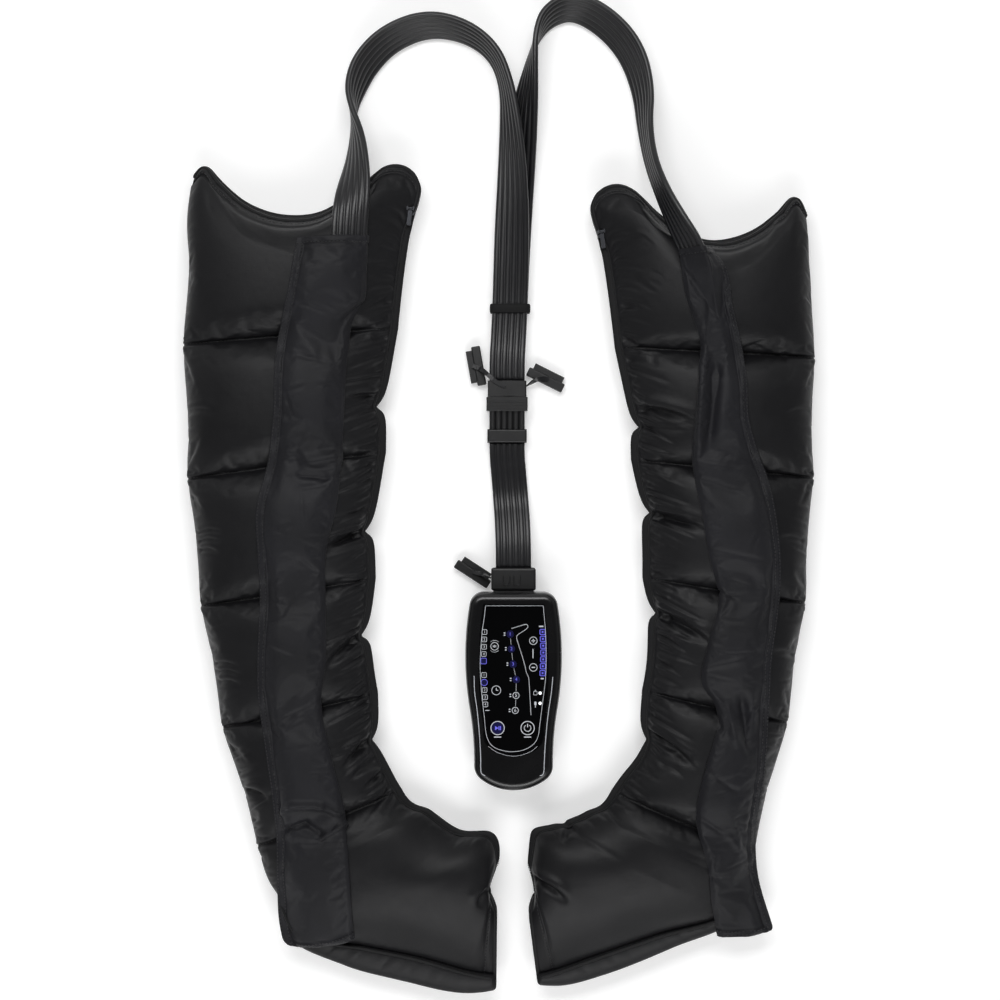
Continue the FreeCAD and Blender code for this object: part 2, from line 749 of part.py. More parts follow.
# Each route point: across, along, height, and roll in degrees about the direction of travel
PUMP_ROUTE = [(pump_x, hose_start, socket_level, 0), (pump_x, hose_start + 22, socket_level, 0),
              (pump_x - 1, hose_start + 52, 18, 0), (pump_x - 3, hose_start + 80, 6, 0),
              (across0 + 2, collar_start - 36, 6, 0), (across0, collar_start - 16, collar_level, 0),
              (across0, collar_start, collar_level, 0)]
LEFT_ROUTE = [(-183, 394, 69.5, 187), (-181, 420, 71.5, 184), (-176, 450, 68, 166), (-169, 486, 52, 135),
              (-170, 524, 34, 112), (-176, 558, 25, 88), (-173, 584, 22, 62), (-160, 615, 19.5, 47),
              (-131, 644, 20.5, 50), (-86, 661, 21.5, 57), (-41, 652, 22.5, 67), (-7, 627, 23, 75),
              (8, 589, 23.5, 75), (13, 535, 24.5, 57), (15, 475, 23.5, 36), (14, 404, 18.5, 13),
              (12, 325, 13.8, 0), (10, 285, 15, 0), (across0, plug_end + 24, high_level, 0),
              (across0, plug_end, high_level, 0)]
RIGHT_ROUTE = [(across0, plug_end, low_level, 180), (across0, plug_end + 24, low_level, 180),
               (10, 285, 6, 180), (12, 325, 5.8, 180),
               (15, 392, 5, 180), (19, 458, 7, 172), (24, 517, 13, 155), (31, 571, 19, 128),
               (37, 613, 21.7, 105), (43, 646, 22.2, 86), (58, 671, 21.5, 64), (88, 683, 19.8, 52),
               (125, 664, 19, 47), (156, 630, 19, 48), (171, 583, 21.5, 60), (172, 535, 29, 76),
               (178, 490, 46, 80), (194, 449, 64, 68), (216, 414, 77, 48), (230, 386, 76, 28),
               (238, 358, 77, 8)]

hose, pump_hose_length = ribbon(PUMP_ROUTE, hose_section, 4)
shape_node("pump_hose", hose)
hose, left_hose_length = ribbon(LEFT_ROUTE, hose_section, 3)
shape_node("left_boot_hose", hose)
hose, right_hose_length = ribbon(RIGHT_ROUTE, hose_section, 3)
shape_node("right_boot_hose", hose)

# Two short tails from the collar to the stacked sockets
tails = []
for label, start, end in (("low_tail", collar_low, low_level), ("high_tail", collar_high, high_level)):
    frames = [(V(across0, collar_end, start), V(1, 0, 0), UP), (V(across0, tail_end, end), V(1, 0, 0), UP)]
    tails.append(shape_item(label, Part.makeLoft([hose_section(*f) for f in frames], True, True)))
keep("hose_splitter", group("splitter_group", [collar_round] + tails))

# Elastic band round both boot hoses
band_in_width = value("hose_width + 3")
band_low = size("band_thickness")
band_high = 13.8 + half + 1.8
band_box = doc.addObject("Part::Box", "band_outside")
band_box.Length = band_in_width + 2 * band_low
band_box.setExpression("Width", cells("band_width"))
band_box.Height = band_high + band_low
band_box.Placement.Base = V(12 - band_box.Length.Value / 2, 322 - size("band_width") / 2, 0)
band_hole = doc.addObject("Part::Box", "band_inside")
band_hole.Length = band_in_width
band_hole.setExpression("Width", cells("band_width + 2"))
band_hole.Height = band_high - band_low
band_hole.Placement.Base = V(12 - band_in_width / 2, 321 - size("band_width") / 2, band_low)
keep("hose_band", cut("band", rounded("band_round", band_box, "2.5", (2, 4, 6, 8)),
                      rounded("band_hole_round", band_hole, "1.2", (2, 4, 6, 8))))

# Blanking plugs: middle, turn in degrees
CAPS = [(-29, 253.5, 100), (56, 240.5, -26.5), (-31, 8, -33)]
caps = []
for i, (x, y, turn) in enumerate(CAPS, start=1):
    cap = block(f"cap_body_{i}", ("cap_length", "cap_width * 0.6", "cap_height"), ("0", "0", "0"))
    lip = block(f"cap_nose_{i}", ("cap_length * 0.82", "cap_width * 0.4 + 1", "cap_height * 0.62"),
                ("cap_length * 0.09", "cap_width * 0.6 - 1", "cap_height * 0.19"))
    shaped = fuse(f"cap_{i}", [rounded(f"cap_round_{i}", cap, "1.6"), lip])
    turned = FreeCAD.Rotation(UP, turn)
    middle = turned.multVec(V(size("cap_length") / 2, size("cap_width") / 2, 0))
    shaped.Placement = FreeCAD.Placement(V(x, y, 0) - middle, turned)
    caps.append(shaped)
keep("blanking_plugs", group("cap_group", caps))

# Tethers from the fittings to the blanking plugs
lie = size("tether_thickness") / 2
cap_top = size("cap_height") + lie + 0.05
high_top = value("2 * fitting_height + fitting_gap") + lie + 0.05
fitting_side = across0 + size("fitting_width") / 2 - 1.5
TETHERS = [
    [(across0 - 2, plug_end - 7, high_top, 0), (across0 - 12, plug_end - 3, high_top, 0),
     (across0 - 22, plug_end + 6, high_top, 0), (-20, 248, cap_top + 7, 0), (-25, 251, cap_top, 0),
     (-33, 254, cap_top, 0)],
    [(fitting_side + lie + 0.5, plug_end - 5, low_level, 90),
     (fitting_side + 6, plug_end - 2, low_level + 4, 60),
     (fitting_side + 12, plug_end + 2, cap_top + 3, 20), (52, 239, cap_top + 1, 0), (58, 238, cap_top, 0)],
    [(pump_x - size("plug_width") / 2 - lie - 0.4, hose_start - 12, socket_level, 90),
     (pump_x - size("plug_width") / 2 - 8, hose_start - 8, socket_level - 4, 60),
     (-21, 5, cap_top + 4, 20), (-27, 6.5, cap_top + 1, 0), (-33, 8, cap_top, 0)],
]
straps = []
for i, route in enumerate(TETHERS, start=1):
    straps.append(shape_item(f"strap_{i}", ribbon(route, strap_section, 3)[0]))
keep("plug_tethers", group("tether_group", straps))


# Boots

SEAMS = ("mouth", "upper_thigh", "lower_thigh", "knee", "calf", "ankle", "heel", "instep", "arch", "ball",
         "toe")
CHAMBERS = ("upper_thigh", "lower_thigh", "knee", "calf", "ankle", "foot")

# How each boot lies: the middle of every seam, its tilt in degrees and the share of its flat width that shows
BOOTS = {
    "left": (-1, [(-228.7, 491.8, 0.5, 1), (-248.3, 286.8, 4.3, 1), (-253, 134.5, 7.7, 1),
                  (-251.2, -15.4, 9, 1), (-237, -154.7, 12.6, 1), (-202, -282, 21.1, 1),
                  (-174.2, -327.7, 30, 1), (-140.4, -359.1, 34, 1), (-87.7, -369.2, 43.3, 1),
                  (-42.1, -391.1, 56.9, 1), (-12.5, -417.2, 89.4, 1)]),
    "right": (1, [(237, 462.7, 0.8, 0.96), (254.8, 267.8, 2.9, 0.93), (263.7, 130.3, 5.6, 0.917),
                  (265.4, -13, 9, 0.933), (254.8, -150.5, 12.4, 0.935), (216.9, -285.6, 22.6, 1),
                  (196.1, -324.7, 27, 1), (162.3, -345.4, 29.9, 1), (112, -362, 39.9, 0.97),
                  (71.1, -389.3, 57.1, 0.96), (44.4, -417.7, 82.8, 0.98)]),
}
# The hose sleeve: places along the boot, and the share of the width from the back where it starts and ends
SLEEVES = {
    "left": [(0.4, 0.5, 0.82), (0.55, 0.485, 0.805), (0.7, 0.47, 0.79), (1.5, 0.44, 0.81), (2.5, 0.385, 0.79),
             (3.5, 0.3, 0.71), (4.5, 0.18, 0.66), (6, 0.02, 0.46), (6.5, 0.02, 0.39), (7, 0.02, 0.32)],
    "right": [(0.4, 0.3, 0.6), (0.55, 0.31, 0.6), (0.7, 0.32, 0.6), (1.5, 0.29, 0.64), (2.5, 0.2, 0.6),
              (3.5, 0.13, 0.53), (4.5, 0.05, 0.48), (6, 0.02, 0.36), (6.5, 0.02, 0.31), (7, 0.02, 0.26)],
}
FOOT_WAVE = (0, 0.85, 1, 0.9, 0.75, 0.2)


class Station:
    """One line across a boot, from back edge to front edge, at a place counted in seams from the mouth."""

    def __init__(self, side, place):
        sign, lie_of = BOOTS[side]
        i = min(int(place), len(SEAMS) - 2)
        t = place - i
        rows = []
        for k in (i, i + 1):
            x, y, tilt, spread = lie_of[k]
            rows.append((x, y, tilt, size(SEAMS[k] + "_width") * spread))
        x, y, tilt, width = [a + (b - a) * t for a, b in zip(*rows)]
        tilt = math.radians(tilt)
        self.ahead = V(-sign * math.cos(tilt), math.sin(tilt), 0)
        wave = math.sin(math.pi * t)
        back_in = size("back_draw") * wave if i < 5 else 0
        front_in = size("zip_outside") + (size("front_draw") * wave ** 2 if 0 < i < 5 else 0)
        if i == 0 and t < 0.14:
            turn = 1 - t / 0.14
            corner = size("mouth_corner") * (1 - math.sqrt(1 - turn * turn * 0.98))
            back_in += corner
            front_in += corner
        middle = V(x, y, 0)
        self.back = middle - self.ahead * (width / 2 - back_in)
        self.front = middle + self.ahead * (width / 2 - front_in)
        self.width = (self.front - self.back).Length
        if i == 0:
            swell = math.sin(math.pi * t * t) ** 0.8
        elif i < 5:
            swell = wave ** 0.7
        else:
            swell = FOOT_WAVE[i - 5] * (1 - t) + FOOT_WAVE[i - 4] * t
        self.swell = swell
        full = size("thigh_rise") + (size("ankle_rise") - size("thigh_rise")) * min(place / 5, 1)
        self.rise = size("seam_rise") + (full - size("seam_rise")) * swell
        deep = size("under_depth") + size("floor_flat")
        self.depth = size("under_seam") + (deep - size("under_seam")) * swell

    def point(self, along, height):
        return self.back + self.ahead * along + UP * height

    def polygon(self, spots):
        points = [self.point(a, z) for a, z in spots]
        return Part.makePolygon(points + points[:1])

    def pad(self, base, sign, rise):
        """A flat side with a short rim at each edge and an arc over it."""
        rim = size("rim") * sign
        a, b = self.point(0, base), self.point(self.width, base)
        a_rim, b_rim = self.point(0, base + rim), self.point(self.width, base + rim)
        crown = self.point(self.width / 2, base + rise * sign)
        edges = [Part.LineSegment(a, b), Part.LineSegment(b, b_rim), Part.Arc(b_rim, crown, a_rim),
                 Part.LineSegment(a_rim, a)]
        return Part.Wire([edge.toShape() for edge in edges])

    def crown_height(self, share, extra):
        """Height of the upper pad at a share of the width, with a clearance along the arc's radius."""
        sag = self.rise - size("rim")
        radius = (self.width ** 2 / 4 + sag ** 2) / (2 * sag)
        away = (share - 0.5) * self.width
        return OVER + self.rise - radius + math.sqrt((radius + extra) ** 2 - away ** 2)


UNDER = size("under_depth")
OVER = value("under_depth + leg_gap")


def loft(wires):
    return Part.makeLoft(wires, True, True)


def places_of(chamber):
    if chamber == 0:
        return [0, 0.05, 0.12, 0.26, 0.4, 0.55, 0.7, 0.85, 1]
    if chamber == 5:
        return [5 + k / 2 for k in range(11)]
    return [chamber + k / 4 for k in range(5)]


for side in BOOTS:
    mouth = Station(side, 0)
    seam = Station(side, 1)
    middle = (mouth.back + mouth.front) * 0.5
    outwards = (middle - (seam.back + seam.front) * 0.5).normalize()
    scoops = []
    for step in (0, size("scoop_step")):
        centre = middle + outwards * (size("scoop_radius") - size("scoop_depth") + step)
        scoops.append(Part.makeCylinder(size("scoop_radius"), 200, centre - UP * 20))
    floor_box = Part.makeBox(3000, 3000, 50, V(-1500, -1500, -50))
    for number, chamber in enumerate(CHAMBERS):
        stations = [Station(side, place) for place in places_of(number)]
        top = loft([s.pad(OVER, 1, s.rise) for s in stations])
        under = loft([s.pad(UNDER, -1, s.depth) for s in stations]).cut(floor_box)
        fold_stations = stations[:3] if number == 5 else stations
        deep = size("fold_width")
        fold = loft([s.polygon([(0, UNDER), (deep, UNDER), (deep, OVER), (0, OVER)]) for s in fold_stations])
        if number == 0:
            top = top.cut(scoops[0])
            under = under.cut(scoops[1])
            fold = fold.cut(scoops[0])
        name = f"{side}_{chamber}_chamber"
        pieces = []
        for label, shape in (("top", top), ("under", under), ("fold", fold)):
            for count, solid in enumerate(shape.Solids, start=1):
                pieces.append(shape_item(f"{name}_{label}_{count}", solid))
        keep(name, group(name + "_group", pieces))

    # Zip along the front edge, thick between the pads and thin outside them
    mid_level = (UNDER + OVER) / 2
    thin = size("zip_edge") / 2
    zip_places = [0.2, 0.4, 0.6, 0.8, 1] + [i + k / 4 for i in range(1, 5) for k in range(1, 5)]
    zip_places += [5 + k / 2 for k in range(1, 11)]
    rows = []
    for place_at in zip_places:
        s = Station(side, place_at)
        w = s.width
        inner, outer = w - size("zip_inside"), w + size("zip_outside")
        rows.append(s.polygon([(inner, UNDER), (w, UNDER), (outer, mid_level - thin),
                               (outer, mid_level + thin), (w, OVER), (inner, OVER)]))
    shape_node(f"{side}_boot_zip", loft(rows))

    # Slider that rides on the thin outer part of the zip, along the straight stretch below the mouth
    high, low = Station(side, 0.24).front, Station(side, 1).front
    along = (low - high).normalize()
    out = along.cross(UP).normalize()
    if out.dot(seam.ahead) < 0:
        out = out * -1
    start = high + UP * mid_level
    gap = size("slider_gap")
    reach = size("zip_outside")

    def across_zip(spots, offset):
        points = [start + along * offset + out * a + UP * z for a, z in spots]
        return Part.Face(Part.makePolygon(points + points[:1]))

    tall = size("slider_height") / 2
    wide = size("slider_width")
    near = 1.3
    slope = (size("leg_gap") / 2 - thin) / reach
    h_near = size("leg_gap") / 2 - slope * near + gap
    h_far = thin + gap
    outer_shape = [(near, -tall), (near + wide, -tall), (near + wide, tall), (near, tall)]
    inner_shape = [(near - 1, -h_near - slope), (reach + gap, -h_far), (reach + gap, h_far),
                   (near - 1, h_near + slope)]
    long = size("slider_length")
    slider = across_zip(outer_shape, 0).extrude(along * long)
    slider = slider.cut(across_zip(inner_shape, -1).extrude(along * (long + 2)))
    eye = size("pull_eye")
    eye_middle = start + along * (long / 2) + UP * (tall + eye + 0.3) + out * (near + wide / 2)
    cheek = 1.6
    inner_half = size("pull_width") / 2 + 0.3
    for hand in (-1, 1):
        spots = [(near + wide / 2 + hand * inner_half, tall - 0.2),
                 (near + wide / 2 + hand * (inner_half + cheek), tall - 0.2),
                 (near + wide / 2 + hand * (inner_half + cheek), tall + 2 * eye),
                 (near + wide / 2 + hand * inner_half, tall + 2 * eye)]
        slider = slider.fuse(across_zip(spots, long / 2 - eye).extrude(along * (2 * eye)))
    pin = Part.makeCylinder(size("pull_pin"), 2 * inner_half + 1, eye_middle - out * (inner_half + 0.5), out)
    slider = slider.fuse(pin).removeSplitter()
    shape_node(f"{side}_zip_slider", slider)

    half_pull = size("pull_width") / 2
    ring = Part.makeCylinder(eye, 2 * half_pull, eye_middle - out * half_pull, out)
    tag_spots = [(near + wide / 2 - half_pull, tall + 0.5), (near + wide / 2 + half_pull, tall + 0.5),
                 (near + wide / 2 + half_pull, tall + 0.5 + size("pull_thickness")),
                 (near + wide / 2 - half_pull, tall + 0.5 + size("pull_thickness"))]
    tag = across_zip(tag_spots, long / 2).extrude(along * size("pull_length"))
    pull = ring.fuse(tag).cut(Part.makeCylinder(size("pull_pin") + 0.25, 40, eye_middle - out * 20, out))
    shape_node(f"{side}_zip_pull", pull.removeSplitter())

    # Fabric sleeve over the tubes, carried on the crowns of the chambers
    rows = []
    for place_at, first, last in SLEEVES[side]:
        s = Station(side, place_at)
        gap = size("sleeve_gap")
        mid = (first + last) / 2
        spots = [(share * s.width, s.crown_height(share, gap)) for share in (first, mid, last)]
        lifts = (size("sleeve_edge"), size("sleeve_rise"), size("sleeve_edge"))
        low_points = [s.point(*spot) for spot in spots]
        high_points = [s.point(a, z + lift) for (a, z), lift in zip(spots, lifts)]
        edges = [Part.Arc(*low_points), Part.LineSegment(low_points[2], high_points[2]),
                 Part.Arc(*reversed(high_points)), Part.LineSegment(high_points[0], low_points[0])]
        rows.append(Part.Wire([edge.toShape() for edge in edges]))
    shape_node(f"{side}_hose_sleeve", loft(rows))

    # Gusset along the sole, from the heel to the toe
    rows = []
    edge = size("sole_edge") / 2
    for k in range(9):
        s = Station(side, 6 + k / 2)
        out = size("sole_width") * min(1, size("sole_start") + (1 - size("sole_start")) * k / 3)
        rows.append(s.polygon([(-0.2, UNDER - size("rim")), (-0.2, OVER + size("rim")),
                               (-out, mid_level + edge), (-out, mid_level - edge)]))
    shape_node(f"{side}_boot_sole", loft(rows))

doc.recompute()

# Every object must be sound before anything is written
for item in doc.Objects:
    if "Invalid" in item.State or "Error" in item.State:
        raise ValueError(f"{item.Name} did not build: {item.State}")
    if hasattr(item, "Shape") and not item.isDerivedFrom("App::OriginFeature"):
        if item.isDerivedFrom("Sketcher::SketchObject"):
            continue
        if item.Shape.isNull() or not item.Shape.isValid():
            raise ValueError(f"{item.Name} has no valid shape")
for name, item in NODES.items():
    if not item.Shape.Solids or item.Shape.Volume <= 0:
        raise ValueError(f"{name} holds no solid")

os.makedirs("parts", exist_ok=True)
for name, item in NODES.items():
    item.Shape.exportStep(os.path.join("parts", name + ".step"))
lengths = [round(length) for length in (pump_hose_length, left_hose_length, right_hose_length)]
print(len(NODES), "pieces; hose lengths", *lengths)
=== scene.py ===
import json
import math

import bmesh
import bpy
import numpy as np
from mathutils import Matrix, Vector
from mathutils.bvhtree import BVHTree


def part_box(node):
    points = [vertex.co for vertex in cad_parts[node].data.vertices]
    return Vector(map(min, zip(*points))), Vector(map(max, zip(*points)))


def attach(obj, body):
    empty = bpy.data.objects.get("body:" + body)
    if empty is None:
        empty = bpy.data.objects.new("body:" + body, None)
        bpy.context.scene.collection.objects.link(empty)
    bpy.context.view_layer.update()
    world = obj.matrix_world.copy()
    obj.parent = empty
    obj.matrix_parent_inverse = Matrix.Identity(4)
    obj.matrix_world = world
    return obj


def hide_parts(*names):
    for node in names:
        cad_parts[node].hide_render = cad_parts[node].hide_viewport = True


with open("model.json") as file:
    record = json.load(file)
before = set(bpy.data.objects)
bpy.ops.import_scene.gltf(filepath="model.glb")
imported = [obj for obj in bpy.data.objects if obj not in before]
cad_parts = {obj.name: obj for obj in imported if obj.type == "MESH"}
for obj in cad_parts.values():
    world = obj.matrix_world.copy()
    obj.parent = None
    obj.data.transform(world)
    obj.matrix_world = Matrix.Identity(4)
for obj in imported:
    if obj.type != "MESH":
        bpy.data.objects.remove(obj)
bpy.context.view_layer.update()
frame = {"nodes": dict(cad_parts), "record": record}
nodes = frame["nodes"]

MM = 0.001
ROOT = "boots_and_hoses"
SIDES = ("left", "right")
CHAMBERS = ("upper_thigh", "lower_thigh", "knee", "calf", "ankle", "foot")

# The photo is taken from straight above: its middle, its width on the floor and the lens height
VIEW_MIDDLE = (0.0, 0.0936)
VIEW_WIDTH = 1.2
VIEW_HEIGHT = 2.4
PHOTO_SIZE = 1000


def seen_at(px, py, height):
    """The place at a given height that shows at a pixel of the photo."""
    scale = VIEW_WIDTH / PHOTO_SIZE * (1 - height / VIEW_HEIGHT)
    half = PHOTO_SIZE / 2
    return (VIEW_MIDDLE[0] + (px - half) * scale, VIEW_MIDDLE[1] + (half - py) * scale)


# Materials

READY_SHADERS = ("Principled BSDF", "Background")
# A wave texture of scale 1 repeats at this spacing in metres
WAVE_SPACING = 0.314
# Sizes of crinkles in cloth, and of patches of tone in cloth, in mouldings and in lamps
CRINKLE_SIZE = 11.1 * MM
CLOTH_PATCH = 71.4 * MM
MOULDED_PATCH = 40 * MM
LAMP_PATCH = 1.67 * MM
# How deep crinkles are at full strength, and how far a finish varies in roughness
CRINKLE_DEPTH = 4 * MM
CLOTH_UNEVEN = 0.07
MOULDED_UNEVEN = 0.15


def srgb(text):
    """An sRGB hex value as a linear colour."""
    parts = [int(text[i:i + 2], 16) / 255 for i in (1, 3, 5)]
    return [c / 12.92 if c <= 0.04045 else ((c + 0.055) / 1.055) ** 2.4 for c in parts] + [1.0]


def add(tree, kind, sockets=(), **settings):
    """Add a node, or set the ready shader. A socket gets a value, or a link from an output."""
    node = tree.nodes[kind] if kind in READY_SHADERS else tree.nodes.new("ShaderNode" + kind)
    for name, value in settings.items():
        setattr(node, name, value)
    for name, value in dict(sockets).items():
        if isinstance(value, bpy.types.NodeSocket):
            tree.links.new(value, node.inputs[name])
        else:
            node.inputs[name].default_value = value
    return node


def new_material(name):
    finish = bpy.data.materials.new(name)
    finish.use_nodes = True
    return finish, finish.node_tree


def two_tone(name, dark, light, patch, detail, stops=(0.0, 1.0)):
    """A new material whose tone drifts between two colours, in patches of a size in metres."""
    finish, tree = new_material(name)
    where = add(tree, "TexCoord").outputs["Object"]
    patches = add(tree, "TexNoise", {"Vector": where, "Scale": 1 / patch, "Detail": detail}).outputs["Fac"]
    tone = add(tree, "ValToRGB", {"Fac": patches})
    for stop, place, colour in zip(tone.color_ramp.elements, stops, (dark, light)):
        stop.color = srgb(colour)
        stop.position = place
    return finish, tree, where, patches, tone.outputs[0]


def woven(name, dark, light, thread, rough, sheen, crinkle):
    """Woven cloth: threads that cross at a spacing in metres, with soft crinkles and a dull, uneven sheen."""
    finish, tree, where, _, tone = two_tone(name, dark, light, CLOTH_PATCH, 3.0, stops=(0.3, 0.75))
    waves = []
    for direction in ("X", "Y"):
        wave = add(tree, "TexWave", {"Vector": where, "Scale": WAVE_SPACING / thread, "Distortion": 0.4,
                                     "Detail": 1.0}, bands_direction=direction)
        waves.append(wave.outputs["Fac"])
    weave = add(tree, "Math", {0: waves[0], 1: waves[1]}, operation="MULTIPLY").outputs[0]
    folds = add(tree, "TexNoise", {"Vector": where, "Scale": 1 / CRINKLE_SIZE, "Detail": 4.0,
                                   "Roughness": 0.6}).outputs["Fac"]
    gloss = add(tree, "MapRange", {"Value": folds, "To Min": rough - CLOTH_UNEVEN,
                                   "To Max": rough + CLOTH_UNEVEN})
    soft = add(tree, "Bump", {"Height": folds, "Strength": crinkle, "Distance": CRINKLE_DEPTH})
    fine = add(tree, "Bump", {"Height": weave, "Strength": 0.12, "Distance": thread,
                              "Normal": soft.outputs[0]})
    add(tree, "Principled BSDF", {"Base Color": tone, "Roughness": gloss.outputs[0],
                                  "Normal": fine.outputs[0], "Sheen Weight": sheen, "Sheen Roughness": 0.4,
                                  "Specular IOR Level": 0.22})
    return finish


def moulded(name, dark, light, rough, grain, depth, coat=0.0, metallic=0.0):
    """Moulded or cast stuff with a fine surface grain, in metres, and a faint change of tone."""
    finish, tree, where, patches, tone = two_tone(name, dark, light, MOULDED_PATCH, 2.0)
    fine = add(tree, "TexNoise", {"Vector": where, "Scale": 1 / grain, "Detail": 3.0}).outputs["Fac"]
    gloss = add(tree, "MapRange", {"Value": patches, "To Min": rough * (1 - MOULDED_UNEVEN),
                                   "To Max": rough * (1 + MOULDED_UNEVEN)})
    bump = add(tree, "Bump", {"Height": fine, "Strength": depth, "Distance": grain})
    add(tree, "Principled BSDF", {"Base Color": tone, "Roughness": gloss.outputs[0],
                                  "Normal": bump.outputs[0], "Coat Weight": coat, "Coat Roughness": 0.04,
                                  "Metallic": metallic})
    return finish


def lit(name, dark, glow, strength):
    """A lit mark under the panel, a little uneven in its light."""
    finish, tree, _, _, tone = two_tone(name, dark, glow, LAMP_PATCH, 2.0)
    add(tree, "Principled BSDF", {"Base Color": tone, "Roughness": 0.3, "Emission Color": tone,
                                  "Emission Strength": strength})
    return finish


# Cloths give their tones, thread spacing, roughness, sheen and crinkles. Real threads lie 0.1 to 0.3 mm
# apart, too fine to show, so they are drawn coarser. Mouldings give tones, roughness, grain and its depth.
FINISHES = {
    # Coated nylon taffeta, tightly woven: near black, with a satin face that takes broad, soft lights
    "boot_fabric": woven("coated_nylon", "#0f0f11", "#161618", 0.7 * MM, 0.45, 0.03, 0.07),
    # Plain-weave polyester: duller and a little paler than the boots
    "sleeve_fabric": woven("plain_polyester", "#141417", "#1b1b1f", 0.9 * MM, 0.55, 0.04, 0.06),
    # Ribbed polyester binding: dull, and darker than the cloth that it edges
    "zip_tape": woven("ribbed_binding", "#0d0d0e", "#131315", 1.2 * MM, 0.6, 0.06, 0.05),
    # Braided elastic: coarse and dull, the darkest of the cloths
    "elastic": woven("braided_elastic", "#0b0b0c", "#121213", 1.4 * MM, 0.7, 0.05, 0.05),
    # Soft extruded PVC tubing: satin, with a soft streak of light along each tube
    "hose_rubber": moulded("extruded_pvc", "#111113", "#17171a", 0.36, 1.5 * MM, 0.04),
    # Moulded ABS with a spark-eroded grain: matt black, with blurred lights
    "fitting_plastic": moulded("grained_abs", "#0a0a0b", "#101012", 0.42, 0.5 * MM, 0.1),
    # High-gloss ABS, polished in the mould: black, with a bright line along its rounded edges
    "case_plastic": moulded("gloss_abs", "#060607", "#08080a", 0.27, 4 * MM, 0.006),
    # Hard-coated acrylic panel: the deepest black, mirror smooth
    "panel_plastic": moulded("hard_coated_acrylic", "#030304", "#050506", 0.06, 6 * MM, 0.003, coat=0.2),
    # The same acrylic in the keys: a shade paler than the panel round them
    "key_plastic": moulded("acrylic_keys", "#040405", "#060607", 0.08, 6 * MM, 0.004, coat=0.2),
    # Glass-fibre board under a green solder mask: half gloss
    "board": moulded("solder_mask", "#0c3b22", "#12492c", 0.35, 0.8 * MM, 0.1),
    # Glass-filled nylon, moulded: dark grey and dry
    "switch_plastic": moulded("glass_filled_nylon", "#232325", "#2c2c2f", 0.55, 0.4 * MM, 0.15),
    # Shrink film over the cells: blue and smooth, with soft lights
    "cell_wrap": moulded("shrink_film", "#1d3c78", "#23468a", 0.3, 2 * MM, 0.06),
    # Drawn steel can: grey metal with half-sharp reflections
    "motor_steel": moulded("drawn_steel", "#8d8f92", "#a2a4a8", 0.32, 0.6 * MM, 0.08, metallic=1.0),
    # Natural acetal, moulded: off-white and waxy
    "inner_plastic": moulded("natural_acetal", "#c9c7bf", "#d8d6cf", 0.5, 0.6 * MM, 0.08),
    # Zinc-plated screws: pale grey metal, a little cloudy
    "screw_steel": moulded("zinc_plate", "#84868a", "#9a9ca0", 0.35, 0.5 * MM, 0.1, metallic=1.0),
    # Moulded rubber: dark grey, without a highlight
    "foot_rubber": moulded("moulded_rubber", "#17171a", "#202023", 0.75, 0.6 * MM, 0.25),
    # Die-cast zip metal plated with black nickel: dark, with bright glints
    "zip_metal": moulded("black_nickel_plate", "#2c2d30", "#3c3d40", 0.3, 0.5 * MM, 0.05, metallic=1.0),
}
# Silver screen ink: light grey, without the sparkle of metal. It also draws the painted highlights along the
# edges of the case and the panel
SILVER_INK_AND_PAINTED_HIGHLIGHTS = moulded("silver_ink_and_painted_highlights", "#b9bcc2", "#c9ccd2", 0.4, 1 * MM, 0.05)
# Bonded polyester thread: black, with a faint gloss on each stitch
THREAD = moulded("sewing_thread", "#101012", "#1a1a1d", 0.4, 0.4 * MM, 0.2)
# Lamps behind the panel: a clear white, a navy that hardly glows and the violet of the signs on it
WHITE_LAMP = lit("white_lamp", "#e3e6ec", "#ffffff", 0.55)
BLUE_LAMP = lit("blue_lamp", "#050526", "#0b0a46", 0.08)
VIOLET_LAMP = lit("violet_lamp", "#4f4cc4", "#7a78e4", 0.3)


def dress(piece, finish):
    piece.data.materials.clear()
    piece.data.materials.append(finish)


slot_of = {row["node"]: row["material_slot"] for row in frame["record"]["subparts"]}
for name, node in nodes.items():
    dress(node, FINISHES[slot_of[name]])


# Meshes laid out as rows of points

def new_piece(name, points, faces, slot, finish=None):
    """A smooth piece on the boots' body, in its slot's finish or one of its own."""
    mesh = bpy.data.meshes.new(name)
    # Nothing reaches below the floor
    mesh.from_pydata([(x, y, max(z, 0)) for x, y, z in points], [], faces)
    mesh.validate()
    mesh.shade_smooth()
    piece = bpy.data.objects.new(name, mesh)
    bpy.context.scene.collection.objects.link(piece)
    dress(piece, finish or FINISHES[slot])
    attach(piece, ROOT)
    return piece


def outward(piece):
    """Turn every face outwards."""
    shell = bmesh.new()
    shell.from_mesh(piece.data)
    bmesh.ops.recalc_face_normals(shell, faces=shell.faces)
    shell.to_mesh(piece.data)
    shell.free()
    return piece


def grid_faces(rows, columns, ring=False, start=0):
    """Faces between rows of points. A ring joins the last column to the first."""
    faces = []
    last = columns if ring else columns - 1
    for r in range(rows - 1):
        for c in range(last):
            d = (c + 1) % columns
            faces.append((start + r * columns + c, start + r * columns + d,
                          start + (r + 1) * columns + d, start + (r + 1) * columns + c))
    return faces


def flip(faces):
    return [tuple(reversed(face)) for face in faces]


def tube_faces(rows, columns):
    """A closed tube: its sides and its two ends."""
    faces = flip(grid_faces(rows, columns, ring=True))
    faces.append(tuple(range(columns)))
    faces.append(tuple(reversed(range((rows - 1) * columns, rows * columns))))
    return faces


def strip(name, sections, slot, finish=None):
    """A closed strip through rows of sections with the same number of points."""
    rows, columns = sections.shape[:2]
    return outward(new_piece(name, sections.reshape(-1, 3), tube_faces(rows, columns), slot, finish))


